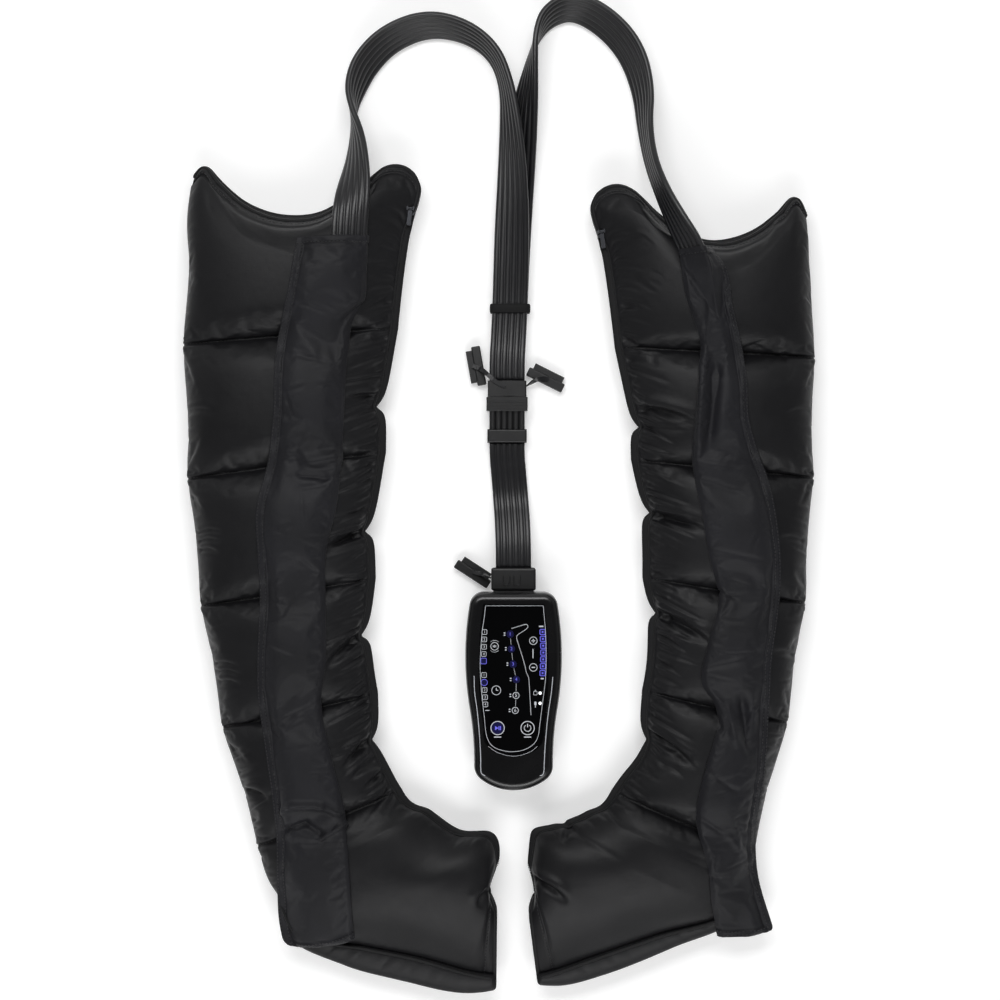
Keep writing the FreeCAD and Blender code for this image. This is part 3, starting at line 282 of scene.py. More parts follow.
def smooth_through(knots, values, at):
    """A smooth curve through values at rising knots, for numbers or points."""
    knots = np.asarray(knots, float)
    values = np.asarray(values, float)
    at = np.asarray(at, float)
    slopes = np.gradient(values, knots, axis=0)
    i = np.clip(np.searchsorted(knots, at, side="right") - 1, 0, len(knots) - 2)
    step = knots[i + 1] - knots[i]
    t = (at - knots[i]) / step
    if values.ndim > 1:
        t, step = t[:, None], step[:, None]
    a, b, m, n = values[i], values[i + 1], slopes[i] * step, slopes[i + 1] * step
    near_start = (2 * t ** 3 - 3 * t ** 2 + 1) * a + (t ** 3 - 2 * t ** 2 + t) * m
    return near_start + (3 * t ** 2 - 2 * t ** 3) * b + (t ** 3 - t ** 2) * n


def finer(rows):
    """Twice as many rows, on smooth lines through the ones there are."""
    count = len(rows)
    half_steps = np.linspace(0, count - 1, 2 * count - 1)
    return smooth_through(np.arange(count), rows.reshape(count, -1), half_steps).reshape(-1, *rows.shape[1:])


def finer_both(grid):
    """Twice as many rows and twice as many columns."""
    return finer(finer(grid).swapaxes(0, 1)).swapaxes(0, 1)


def soften(values, reach):
    """A running average along the rows."""
    span = 3 * reach
    weights = np.exp(-(np.arange(-span, span + 1) / reach) ** 2)
    weights /= weights.sum()
    padded = np.concatenate([np.repeat(values[:1], span, 0), values, np.repeat(values[-1:], span, 0)])
    return sum(w * padded[k:k + len(values)] for k, w in enumerate(weights))


def hump(x, place, spread):
    """1 at a place, falling smoothly to 0 on both sides."""
    return np.exp(-((x - place) / spread) ** 2)


def ramp(x, start, span):
    """0 up to a start, 1 from a span later, and straight between."""
    return np.clip((x - start) / span, 0, 1)


def unit(vectors):
    return vectors / np.linalg.norm(vectors, axis=-1, keepdims=True)


def ways(line):
    """The directions ahead, to the side and over, at the points of a line that never stands upright."""
    ahead = unit(np.gradient(line, axis=0))
    side = unit(np.cross((0, 0, 1), ahead))
    return ahead, side, np.cross(ahead, side)


def run_along(rows):
    """How far along its line each point lies, for one line or for lines side by side."""
    steps = np.linalg.norm(np.diff(rows, axis=0), axis=-1)
    return np.concatenate([np.zeros_like(steps[:1]), np.cumsum(steps, axis=0)])


def evenly(line, spacing):
    """Points at an even spacing along a line."""
    run = run_along(line)
    at = np.linspace(0, run[-1], max(2, int(run[-1] / spacing)))
    return np.stack([np.interp(at, run, line[:, k]) for k in range(line.shape[1])], axis=1)


def at_level(flat, level):
    """Places seen from above, put at one height."""
    return np.concatenate([flat, np.full((*flat.shape[:-1], 1), level)], axis=-1)


# Hoses: six tubes side by side, along the routes of the solids

TUBES = 6
TUBE_POINTS = 7
TUBE_ROUND = 2.2
HOSE_WIDTH = 42 * MM
HOSE_HALF = 3.5 * MM
HOSE_WEB = 1.3 * MM
ROUTE_STEPS = 10

# Each point: across, along and height in mm, and roll in degrees about the direction of travel
PUMP_ROUTE = [(16, 13.3, 26, 0), (16, 35.3, 26, 0), (15, 65.3, 18, 0), (13, 93.3, 6, 0), (10.4, 126, 6, 0),
              (8.4, 146, 9.5, 0), (8.4, 162, 9.5, 0)]
LEFT_ROUTE = [(-176, 394, 69.5, 187), (-175, 420, 71.5, 184), (-172, 450, 68, 166), (-169, 486, 52, 135),
              (-170, 524, 34, 112), (-176, 558, 25, 88), (-173, 584, 22, 62), (-160, 615, 19.5, 47),
              (-131, 644, 20.5, 50), (-86, 661, 21.5, 57), (-41, 652, 22.5, 67), (-7, 627, 23, 75),
              (8, 589, 23.5, 75), (13, 535, 24.5, 57), (15, 475, 23.5, 36), (14, 404, 18.5, 13),
              (12, 325, 13.8, 0), (10, 285, 15, 0), (8.4, 259.4, 19.3, 0), (8.4, 235.4, 19.3, 0)]
RIGHT_ROUTE = [(8.4, 235.4, 6.3, 180), (8.4, 259.4, 6.3, 180), (10, 285, 6, 180), (12, 325, 5.8, 180),
               (15, 392, 5, 180), (19, 458, 7, 172), (24, 517, 13, 155), (31, 571, 19, 128),
               (37, 613, 21.7, 105), (43, 646, 22.2, 86), (58, 671, 21.5, 64), (88, 683, 19.8, 52),
               (125, 664, 19, 47), (156, 630, 19, 48), (171, 583, 21.5, 60), (172, 535, 29, 76),
               (178, 490, 46, 80), (191, 449, 66, 76), (207, 414, 78, 64), (222, 386, 80, 52),
               (230, 358, 80, 44)]


def smooth_line(points):
    """Points along the smooth curve of a route."""
    curve = bpy.data.curves.new("route", "CURVE")
    curve.dimensions = "3D"
    spline = curve.splines.new("NURBS")
    spline.points.add(len(points) - 1)
    for control, point in zip(spline.points, points):
        control.co = (*point, 1)
    spline.order_u = 3
    spline.use_endpoint_u = True
    spline.resolution_u = ROUTE_STEPS
    carrier = bpy.data.objects.new("route", curve)
    mesh = bpy.data.meshes.new_from_object(carrier)
    line = np.array([vertex.co for vertex in mesh.vertices])
    bpy.data.objects.remove(carrier)
    bpy.data.meshes.remove(mesh)
    bpy.data.curves.remove(curve)
    return line


def along_route(route):
    """The middle line of a route, with its directions across and through the hose."""
    line = smooth_line([(x * MM, y * MM, z * MM) for x, y, z, roll in route])
    rolls = np.radians(smooth_line([(roll * MM, 0, 0) for x, y, z, roll in route])[:, :1] / MM)
    ahead, side, over = ways(line)
    across = side * np.cos(rolls) + over * np.sin(rolls)
    return line, across, np.cross(ahead, across)


def hose_outline():
    """The outside of six joined tubes: distances across and through, in metres."""
    pitch = HOSE_WIDTH / TUBES
    outline = []
    for face in (1, -1):
        for k in range(TUBES):
            middle = (k - (TUBES - 1) / 2) * pitch * face
            for s in np.linspace(-1, 1, TUBE_POINTS)[:-1]:
                bulge = HOSE_WEB + (HOSE_HALF - HOSE_WEB) * math.sqrt(max(0, 1 - abs(s) ** TUBE_ROUND))
                outline.append((middle + s * pitch / 2 * face, bulge * face))
        outline.append((HOSE_WIDTH / 2 * face, HOSE_WEB * face))
    return outline


def build_hose(name, node, route):
    """One hose: its outline carried along its route."""
    line, across, through = along_route(route)
    outline = hose_outline()
    points = []
    for middle, a, t in zip(line, across, through):
        points += [middle + a * s + t * z for s, z in outline]
    hose = new_piece(name, points, tube_faces(len(line), len(outline)), "hose_rubber")
    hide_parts(node)
    return hose, line


build_hose("pump_hose_tubes", "pump_hose", PUMP_ROUTE)
left_hose, left_line = build_hose("left_hose_tubes", "left_boot_hose", LEFT_ROUTE)
right_hose, right_line = build_hose("right_hose_tubes", "right_boot_hose", RIGHT_ROUTE)


# Boots: six air cells sewn side by side, folded along the back and zipped along the front

# Places along a boot are counted in seams from the mouth: the foot, the heel end of the sole, and the toe
FOOT, HEEL, TOE = 5, 6, 10
SEAMS = range(1, FOOT + 1)
# Rows along each cell, about 3 mm apart, columns over, under and inside, and how evenly columns are spaced
CELL_ROWS = (66, 48, 48, 48, 48, 84)
TOP_COLUMNS = 84
LOW_COLUMNS = 28
LINING_COLUMNS = 14
EVEN_COLUMNS = 0.4
SIGN = {"left": -1, "right": 1}
# The leg space: its middle, half its height, and how far the pads part from it at the zip and at the floor
LEG_MIDDLE = 30 * MM
LEG_HALF = 4 * MM
ZIP_PART = 6.5 * MM
FLOOR_GAP = 0.4 * MM
TAPE_OUT = 8 * MM
# Hems at the mouth and the toe, and the depth and half width of the line sewn along them
HEM_WIDTH = 9 * MM
TOE_HEM = {"left": 12 * MM, "right": 18 * MM}
HEM_SINK = 3.4 * MM
HEM_HALF = 2.2 * MM

# Widths of the eleven lines across a boot in mm, from the mouth to the toe
SEAM_WIDTHS = np.array((262, 256, 238, 211, 190, 185, 214, 223, 194, 146, 106), float)
# The middle of each line in mm, its tilt in degrees and its share of the width above
BOOT_SEAMS = {
    "left": [(-228.7, 491.8, 0.5, 1), (-248.3, 286.8, 4.3, 1), (-253, 134.5, 7.7, 1), (-251.2, -15.4, 9, 1),
             (-237, -154.7, 12.6, 1), (-202, -282, 21.1, 1), (-174.2, -327.7, 30, 1), (-140.4, -359.1, 34, 1),
             (-87.7, -369.2, 43.3, 1), (-42.1, -391.1, 56.9, 1), (-6.5, -417.2, 89.4, 1)],
    "right": [(237, 462.7, 0.8, 0.96), (254.8, 267.8, 2.9, 0.93), (263.7, 130.3, 5.6, 0.917),
              (265.4, -13, 9, 0.933), (254.8, -150.5, 12.4, 0.935), (216.9, -285.6, 22.6, 1),
              (196.1, -324.7, 27, 1), (162.3, -345.4, 29.9, 1), (112, -362, 39.9, 0.97),
              (71.1, -389.3, 57.1, 0.96), (39.5, -417.7, 82.8, 0.98)],
}
# The mouth's edge: a share of the width from the back, and the drop below the mouth line in mm
MOUTH_DROPS = {
    "left": ((0, 17), (0.04, 4), (0.11, 23), (0.21, 48), (0.29, 60), (0.44, 69), (0.57, 64), (0.68, 46),
             (0.79, 21), (0.84, 9), (0.89, 5), (0.95, 9), (0.98, 17), (1, 30)),
    "right": ((0, 34), (0.033, 14), (0.124, 31), (0.205, 49), (0.33, 65), (0.47, 69), (0.614, 52), (0.72, 30),
              (0.8, 9), (0.886, 0), (0.95, 5), (0.98, 12), (1, 24)),
}
# The lower lip of the mouth stands out this much further
LOW_LIP = 7 * MM
# Where the front edge is drawn in most, as a share of each cell from lower thigh to ankle
FRONT_NOTCHES = {"left": (0.61, 0.61, 0.47, 0.4), "right": (0.69, 0.44, 0.3, 0.4)}
NOTCH_DEPTH = {"left": 10 * MM, "right": 8 * MM}
# How far a notch reaches towards the mouth, and towards the toe in each of these cells
NOTCH_ABOVE = 0.11
NOTCH_BELOW = (0.06, 0.06, 0.06, 0.22)
# How far both edges are drawn in between seams, and the front edge of the first cell
CELL_DRAW = 3.5 * MM
MOUTH_DRAW = 2 * MM
# The front edge flares at the mouth: how far, over which part of the cell and how squarely
FRONT_FLARE = 10 * MM
FLARE_REACH = 0.23
FLARE_SQUARE = 3.5
# Where an edge bulges, or is drawn in if negative: how far, its place along the boot and its spread
BACK_SWELLS = {"left": ((7 * MM, 0.22, 0.25), (-7 * MM, 6.1, 0.5)), "right": ((-2 * MM, 6.1, 0.5),)}
FRONT_SWELLS = {"left": ((8 * MM, 8.4, 0.65),),
                "right": ((4 * MM, 7.8, 0.5), (-4 * MM, 6.8, 0.14), (-6 * MM, 4.55, 0.2))}
# The toe's front corner is drawn in: how far, and from where and over what span, across and along
TOE_DRAW = 8 * MM
TOE_CORNER = (0.8, 0.2)
TOE_END = (9.2, 0.8)
# The foot leans towards the sole: how far, and from where and over what span along it
FOOT_LEAN = 26 * MM
LEAN_START = (5.1, 0.6)
# Height over the leg space in mm at places along a boot: on the seams, and where the cells are full
SEAM_RISE = ((0, 0.15, 9.6, TOE), (4, 21, 21, 7))
FULL_RISE = ((0, 2, 5, 7, 9, TOE), (40, 38, 35, 38, 34, 24))
# The sewn lines sink this far in mm, over this part of a cell on both sides
SEAM_SINK = 2
SEAM_REACH = 0.016
# Powers for how a cell fills below its upper seam and empties above its lower one
THIGH_FILL = (6, 0.8, 7, 0.65)
CELL_FILL = (9, 0.7, 6, 0.65)
FOOT_FILL = ((5, 5.08, 5.2, 5.5, 6.5, 8, 9, TOE), (0, 0.52, 0.84, 0.98, 1, 0.94, 0.8, 0.3))
# How flat the pads are across, and how far the lower pad fills on a seam
CROWN = 2.5
LOW_SEAM_FILL = 0.35
# Folds as the photo shows them: from the edge inwards in pixels, then depth and half width in mm
FOLDS = {
    "left": [(389, 395, 346, 399, 7, 5), (363, 531, 326, 549, 9, 5), (362, 634, 328, 664, 9, 5),
             (373, 739, 344, 766, 8, 5), (246, 791, 268, 800, 5, 5), (186, 410, 214, 412, 2, 4),
             (197, 533, 222, 531, 3, 3), (198, 541, 220, 541, 3, 3), (199, 550, 218, 552, 2.5, 3),
             (214, 664, 238, 666, 3, 3), (217, 672, 240, 674, 3, 3), (219, 682, 240, 684, 2.5, 3),
             (372, 760, 352, 778, 4, 4), (385, 775, 362, 790, 3, 4), (400, 292, 376, 303, 3, 5),
             (486, 891, 478, 905, 4, 4), (455, 832, 462, 842, 4, 4)],
    "right": [(628, 405, 690, 420, 8, 5), (649, 513, 703, 529, 9, 5), (657, 612, 708, 641, 9, 5),
              (650, 733, 694, 765, 6, 4), (812, 410, 786, 414, 2, 4), (804, 540, 780, 538, 2.5, 4),
              (796, 655, 772, 652, 2.5, 4), (664, 764, 684, 776, 2, 3), (612, 300, 640, 308, 3, 5),
              (537, 880, 566, 898, 7, 4), (572, 830, 562, 842, 4, 4), (692, 240, 701, 300, 7, 11)],
}
FOLD_LEVEL = 60 * MM
# How far a fold sags in mm, where along its line it starts and ends and over what span, and how far it
# fades near an edge
FOLD_BOW = 2.5
FOLD_START = (-0.25, 0.25)
FOLD_END = (1.1, 0.5)
FOLD_EDGE = 7
FOLD_LEAST = 0.2
# A fold's valley is steep above and slack below, with a low ridge: shares of its half width and depth
FOLD_STEEP = 0.5
FOLD_SLACK = 1.3
FOLD_RIDGE = 0.35
# The ridge beside a crease: its height, place and half width as shares of the valley's
RIDGE = (0.55, 1.9, 1.3)
# Gathers along an edge: the place along the boot, their spacing, depth and reach inwards in mm
FRONT_GATHERS = ((0, 14, 0, 10), (0.35, 10, 1.6, 28), (1, 9, 2.0, 32), (3, 8.5, 2.4, 36), (5, 9, 2.2, 30),
                 (5.6, 16, 0.8, 16), (8, 22, 0.6, 14), (TOE, 22, 0.3, 10))
BACK_GATHERS = ((0, 24, 0.2, 14), (1, 18, 0.8, 20), (3.6, 14, 1.0, 22), (4.2, 10, 1.8, 28),
                (5.6, 10, 1.8, 26), (6.3, 14, 0.6, 14), (TOE, 24, 0.3, 10))
# Chance in the gathers: shares of depth, reach and spacing, the half width in mm and the spread of the slant
GATHER_DEPTH = (0.4, 1.5)
GATHER_REACH = (0.5, 1.7)
GATHER_STEP = (0.6, 1.4)
GATHER_HALF = (1.7, 3.1)
GATHER_SLANT = 0.18
# Gathers start this far from the edge and are full this much later, and none reaches past this, in mm
GATHER_START = (1.5, 3)
GATHER_NEAR = 24
FRONT_LEAN = 0.3
# The thread's own line in mm: depth and half width
THREAD_SINK = 1.6
THREAD_HALF = 1.7
# Puckers beside the sewn lines, in mm: half width, reach, depth and spacing, and the spread of their slant
PUCKER_HALF = (3.2, 5.2)
PUCKER_REACH = (7, 22)
PUCKER_DEPTH = (0.2, 0.8)
PUCKER_STEP = (9, 22)
PUCKER_SLANT = 0.25
PUCKER_START = 2
PUCKER_MARGIN = 10.0
PUCKER_NEAR = 45
GATHER_SEED = {"left": 7, "right": 11}
# Coated cloth in the units of the cloth solver
CLOTH = {"quality": 5, "mass": 0.15, "tension_stiffness": 12, "compression_stiffness": 12,
         "shear_stiffness": 4, "bending_stiffness": 0.6, "vertex_group_mass": "held", "use_pressure": True}
# Columns of the lower pad that swell with the upper one, and how strong a sewn line holds the skin
WRAP = 8
HELD_SEAM = 0.7
# The foot's swelling: how much stays, softened over how many rows and columns, none of it at the rim, and
# from where and over what span along the boot
CALM = 0.45
CALM_ROWS = 5
CALM_COLUMNS = 4
CALM_RIM = 6
CALM_START = (5.05, 0.3)
# The lining stays this share of the width away from the fold
LINING_INSET = 0.03


def boot_places():
    """Rows along a boot, counted in seams from the mouth."""
    ends = (*range(FOOT + 1), TOE)
    cells = [np.linspace(a, b, count, endpoint=False) for a, b, count in zip(ends, ends[1:], CELL_ROWS)]
    return np.concatenate(cells + [[TOE]])


def columns_across(count):
    """Columns from the front edge, 1, to the back edge, 0, closer together near the edges."""
    turn = np.linspace(0, 1, count)
    return EVEN_COLUMNS * (1 - turn) + (1 - EVEN_COLUMNS) / 2 * (1 + np.cos(np.pi * turn))


def notch_pull(side, u):
    """How far the notches draw the front edge in, 0 to 1: most of them quickly from below."""
    pull = np.zeros(len(u))
    for k, (place, below_notch) in enumerate(zip(FRONT_NOTCHES[side], NOTCH_BELOW), start=1):
        away = u - k - place
        pull = np.maximum(pull, np.exp(-np.where(away < 0, -away / NOTCH_ABOVE, away / below_notch)))
    return pull


def bulges(table, u):
    return sum(far * hump(u, place, spread) for far, place, spread in table)


def boot_edges(side, u):
    """The back and front edges of a boot's pads, and the way across, at places along it."""
    table = np.array(BOOT_SEAMS[side], float)
    seams = np.arange(len(table))
    middle = smooth_through(seams, table[:, :2] * MM, u)
    tilt = np.radians(smooth_through(seams, table[:, 2], u))
    half = smooth_through(seams, SEAM_WIDTHS * table[:, 3] * MM / 2, u)
    ahead = np.stack([-SIGN[side] * np.cos(tilt), np.sin(tilt)], axis=1)
    wave = np.where(u < FOOT, np.sin(np.pi * (u % 1)), 0)
    back_in = np.where(u < 1, 0, CELL_DRAW) * wave - bulges(BACK_SWELLS[side], u)
    flare = FRONT_FLARE * np.exp(-(u / FLARE_REACH) ** FLARE_SQUARE) + bulges(FRONT_SWELLS[side], u)
    front_in = TAPE_OUT + np.where(u < 1, MOUTH_DRAW, CELL_DRAW) * wave - flare
    front_in = front_in + NOTCH_DEPTH[side] * notch_pull(side, u)
    back = middle - ahead * (half - back_in)[:, None]
    front = middle + ahead * (half - front_in)[:, None]
    return back, front, ahead


def flat_pad(side, u, v, upper):
    """Places seen from above, rows along a boot and columns across it."""
    back, front = boot_edges(side, u)[:2]
    flat = back[:, None] + (front - back)[:, None] * v[None, :, None]
    shares, drops = np.array(MOUTH_DROPS[side], float).T
    drop = smooth_through(shares, drops * MM, v)
    if not upper:
        drop = drop - LOW_LIP * np.sin(np.pi * v) ** 0.7
    flat[..., 1] -= drop * np.clip(1 - u, 0, 1)[:, None]
    flat[..., 0] += SIGN[side] * TOE_DRAW * ramp(v, *TOE_CORNER)[None] * ramp(u, *TOE_END)[:, None]
    return flat


def fullness(u):
    """How far the air fills the cells: 0 at a seam, quickly full below it, slowly falling to the next."""
    t = u % 1
    fills = []
    for rise, rise_round, fall, fall_round in (THIGH_FILL, CELL_FILL):
        fills.append((1 - (1 - t) ** rise) ** rise_round * (1 - t ** fall) ** fall_round)
    foot = smooth_through(*FOOT_FILL, np.maximum(u, FOOT))
    return np.select([u < 1, u < FOOT], fills, foot)


def seam_lines(u):
    """1 on the sewn lines between cells, falling to 0 about 4 mm away."""
    return hump(u, np.clip(np.round(u), SEAMS[0], SEAMS[-1]), SEAM_REACH)


def upper_pad(side, u, v):
    flat = flat_pad(side, u, v, True)
    seam_rise = np.interp(u, *SEAM_RISE)
    full_rise = smooth_through(*FULL_RISE, u)
    rise = (seam_rise + (full_rise - seam_rise) * fullness(u) - SEAM_SINK * seam_lines(u)) * MM
    rise = rise[:, None] + FOOT_LEAN * (v - 0.5)[None] * ramp(u, *LEAN_START)[:, None]
    crown = (1 - np.abs(1 - 2 * v) ** CROWN) ** (0.5 + 0.3 * v)
    edge = LEG_MIDDLE + ZIP_PART * v
    height = edge + (LEG_MIDDLE + LEG_HALF + rise - edge) * crown

    # A hem along the mouth and the toe, sewn down on its inner side
    run = run_along(flat)
    for away, hem in ((run, HEM_WIDTH), (run[-1] - run, TOE_HEM[side])):
        height -= HEM_SINK * hump(away, hem, HEM_HALF) * crown
    return np.dstack([flat, height])


def lower_pad(side, u, v):
    flat = flat_pad(side, u, v, False)
    depth = (LOW_SEAM_FILL + (1 - LOW_SEAM_FILL) * fullness(u))[:, None]
    crown = np.clip(1.4 * (1 - np.abs(1 - 2 * v) ** CROWN) ** 0.6, 0, 1)
    edge = LEG_MIDDLE - ZIP_PART * v
    height = edge - (edge - FLOOR_GAP) * depth * crown
    return np.dstack([flat, height])


def swell(points, held, air, spare, frames, cap):
    """Let rows of points swell as cloth under air. Held points stay, and none moves further than the cap."""
    start = points.reshape(-1, 3)
    mesh = bpy.data.meshes.new("skin")
    mesh.from_pydata(start.tolist(), [], grid_faces(*points.shape[:2]))
    if sum(face.normal.z for face in mesh.polygons) < 0:
        mesh.flip_normals()
    carrier = bpy.data.objects.new("skin", mesh)
    scene = bpy.context.scene
    scene.collection.objects.link(carrier)
    group = carrier.vertex_groups.new(name="held")
    for index, weight in enumerate(held.ravel().tolist()):
        if weight > 0:
            group.add([index], weight, "REPLACE")
    cloth = carrier.modifiers.new("cloth", "CLOTH")
    for name, value in CLOTH.items():
        setattr(cloth.settings, name, value)
    cloth.settings.uniform_pressure_force = air
    cloth.settings.shrink_min = -spare
    cloth.settings.effector_weights.gravity = 0
    cloth.point_cache.frame_end = frames
    for frame_number in range(1, frames + 1):
        scene.frame_set(frame_number)
    skin = carrier.evaluated_get(bpy.context.evaluated_depsgraph_get()).data
    moved = np.array([vertex.co for vertex in skin.vertices]) - start
    scene.frame_set(1)
    bpy.data.objects.remove(carrier)
    bpy.data.meshes.remove(mesh)
    far = np.maximum(np.linalg.norm(moved, axis=1, keepdims=True), 1e-9)
    return (start + moved * np.minimum(1, cap / far)).reshape(points.shape)


def calmed(u, moved):
    """The foot is a smooth pillow: there only the broad part of the swelling stays, and none at its rim."""
    rows, columns = [np.arange(count) for count in moved.shape[:2]]
    calm = CALM * soften(soften(moved, CALM_ROWS).swapaxes(0, 1), CALM_COLUMNS).swapaxes(0, 1)
    calm *= ramp(np.minimum(columns, columns[::-1]), 0, CALM_RIM)[None, :, None]
    calm *= ramp(rows[::-1], 0, CALM_RIM)[:, None, None]
    return moved + (calm - moved) * ramp(u, *CALM_START)[:, None, None]


def beside(flat, x1, y1, x2, y2, level):
    """How far along a line of the photo each place is, 0 to 1, and how far above it in mm."""
    start = np.array(seen_at(x1, y1, level))
    way = np.array(seen_at(x2, y2, level)) - start
    long = np.linalg.norm(way)
    along = (flat - start) @ way / long ** 2
    above = (flat - start) @ np.array([-way[1], way[0]]) / long * np.sign(way[0])
    return along, above / MM


def crease(away, half):
    """A narrow valley with a low ridge beside it."""
    high, place, wide = RIDGE
    return high * hump(away, place * half, wide * half) - hump(away, 0, half)


def lifted(skin, rise):
    """Move each point of a skin along its normal, up for a positive rise in mm."""
    normal = unit(np.cross(np.gradient(skin, axis=0), np.gradient(skin, axis=1)) + 1e-12)
    return skin + normal * np.sign(normal[..., 2:]) * rise[..., None] * MM


def gathered(rise, chance, u, run, away, table, lean):
    """Add the short creases that run inwards from a gathered edge, leaning towards the toe."""
    places, gaps, depths, reaches = np.array(table, float).T
    s = gaps[0]
    while s < run[-1]:
        here = np.interp(s, run, u)
        gap, deep, reach = [np.interp(here, places, column) for column in (gaps, depths, reaches)]
        deep *= chance.uniform(*GATHER_DEPTH)
        reach *= chance.uniform(*GATHER_REACH)
        half = chance.uniform(*GATHER_HALF)
        slant = chance.normal(lean, GATHER_SLANT)
        near = np.abs(run - s) < GATHER_NEAR
        side_of = run[near, None] - s - slant * away[near]
        fade = ramp(away[near], *GATHER_START) * np.clip(1 - away[near] / reach, 0, 1) ** 0.8
        rise[near] += deep * crease(side_of, half) * fade
        s += gap * chance.uniform(*GATHER_STEP)


def puckered(rise, chance, u, run, away, wide):
    """Press the sewn lines in, with the puckers that a tight thread leaves beside them."""
    for seam in SEAMS:
        row = np.argmin(np.abs(u - seam))
        past = run - run[row]
        rise -= THREAD_SINK * hump(past, 0, THREAD_HALF)
        near = np.abs(past[:, TOP_COLUMNS // 2 - 2]) < PUCKER_NEAR
        place = PUCKER_MARGIN
        while place < wide[row, 0] - PUCKER_MARGIN:
            half = chance.uniform(*PUCKER_HALF)
            reach = chance.uniform(*PUCKER_REACH)
            deep = chance.uniform(*PUCKER_DEPTH)
            # The foot has no puckers: its seam has them only towards the ankle
            towards = chance.choice((-1, 1, 1)) if seam < FOOT else -1
            side_of = away[near] - place - chance.normal(0, PUCKER_SLANT) * past[near]
            gone = past[near] * towards
            fade = np.where(gone > 0, np.clip(1 - gone / reach, 0, 1) * ramp(gone, 0, PUCKER_START), 0)
            rise[near] += deep * crease(side_of, half) * fade
            place += chance.uniform(*PUCKER_STEP)


def pressed(side, u, v, skin):
    """Press the sewn lines, the gathers along both edges and the folds of the photo into the upper skin."""
    chance = np.random.default_rng(GATHER_SEED[side])
    run = run_along(skin) / MM
    wide = np.linalg.norm(skin[:, :1] - skin[:, -1:], axis=2) / MM
    from_front, from_back = (1 - v)[None] * wide, v[None] * wide
    rise = np.zeros(skin.shape[:2])
    gathered(rise, chance, u, run[:, 0], from_front, FRONT_GATHERS, FRONT_LEAN)
    gathered(rise, chance, u, run[:, -1], from_back, BACK_GATHERS, 0)
    puckered(rise, chance, u, run, from_back, wide)
    for *line, deep, half in FOLDS[side]:
        along, above = beside(skin[..., :2], *line, FOLD_LEVEL)
        above = above - FOLD_BOW * np.sin(np.pi * np.clip(along, 0, 1))
        fade = ramp(along, *FOLD_START) * np.clip((FOLD_END[0] - along) / FOLD_END[1], 0, 1)
        fade = fade * np.clip(np.minimum(from_front, from_back) / FOLD_EDGE, FOLD_LEAST, 1)
        valley = hump(above, 0, np.where(above > 0, FOLD_STEEP, FOLD_SLACK) * half)
        bulge = hump(above, RIDGE[1] * half, RIDGE[2] * half)
        rise += deep * (FOLD_RIDGE * bulge - valley) * fade
    return lifted(skin, rise)


def bridge(first, second):
    """Faces between two rows of points that need not have the same number."""
    faces = []
    i = j = 0
    while i < len(first) - 1 or j < len(second) - 1:
        if (i + 1) * (len(second) - 1) <= (j + 1) * (len(first) - 1):
            faces.append((first[i], first[i + 1], second[j]))
            i += 1
        else:
            faces.append((first[i], second[j + 1], second[j]))
            j += 1
    return faces


def build_boot(side):
    """One boot: skins over and under, the lining round the leg space, and the rims that close them."""
    u = boot_places()
    top_v = columns_across(TOP_COLUMNS)
    top = upper_pad(side, u, top_v)
    low = lower_pad(side, u, columns_across(LOW_COLUMNS)[::-1])
    skin = np.concatenate([top, low[:, 1:WRAP]], axis=1)
    held = np.zeros(skin.shape[:2])
    held[:, 0] = held[:, -1] = held[0] = held[-1] = 1
    held[u >= HEEL, TOP_COLUMNS - 1] = 1
    held = np.maximum(held, (seam_lines(u) > HELD_SEAM)[:, None])
    moved = swell(skin, held, air=4, spare=0.012, frames=16, cap=9 * MM) - skin
    skin = skin + calmed(u, moved)
    top, low[:, 1:WRAP] = skin[:, :TOP_COLUMNS], skin[:, TOP_COLUMNS:]
    u, top, low = finer(u[:, None])[:, 0], finer(top), finer(low)
    top = pressed(side, u, top_v, top)
    lining_v = LINING_INSET + (1 - LINING_INSET) * columns_across(LINING_COLUMNS)[::-1]
    lining_low = at_level(flat_pad(side, u, lining_v[::-1], False), LEG_MIDDLE - LEG_HALF)
    lining_top = at_level(flat_pad(side, u, lining_v, True), LEG_MIDDLE + LEG_HALF)
    ring = np.concatenate([top, low[:, 1:], lining_low, lining_top[:, 1:]], axis=1)
    count = ring.shape[1]
    faces = grid_faces(len(u), count, ring=True)
    for row in (0, len(u) - 1):
        outer = [row * count + k for k in range(TOP_COLUMNS + LOW_COLUMNS - 1)]
        inner = [row * count + count - 1 - k for k in range(2 * LINING_COLUMNS - 1)]
        rim = bridge(outer[:TOP_COLUMNS], inner[:LINING_COLUMNS])
        rim += bridge(outer[TOP_COLUMNS - 1:], inner[LINING_COLUMNS - 1:])
        faces += flip(rim) if row else rim
    piece = outward(new_piece(f"{side}_boot_pads", ring.reshape(-1, 3), faces, "boot_fabric"))
    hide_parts(*[f"{side}_{chamber}_chamber" for chamber in CHAMBERS])
    return piece, u, top, low


boots = {side: build_boot(side) for side in SIDES}


# Strips, piping and stitches that follow the boots' edges

# Half the section of a zip tape in mm: out from the boot's edge, and up from the middle of the zip
ZIP_TAPE = ((-7, 3.7), (0.5, 3.8), (4, 3.0), (7, 2.2), (8, 1.6), (7.2, 1.1), (3, 1.3), (-7, 1.6))
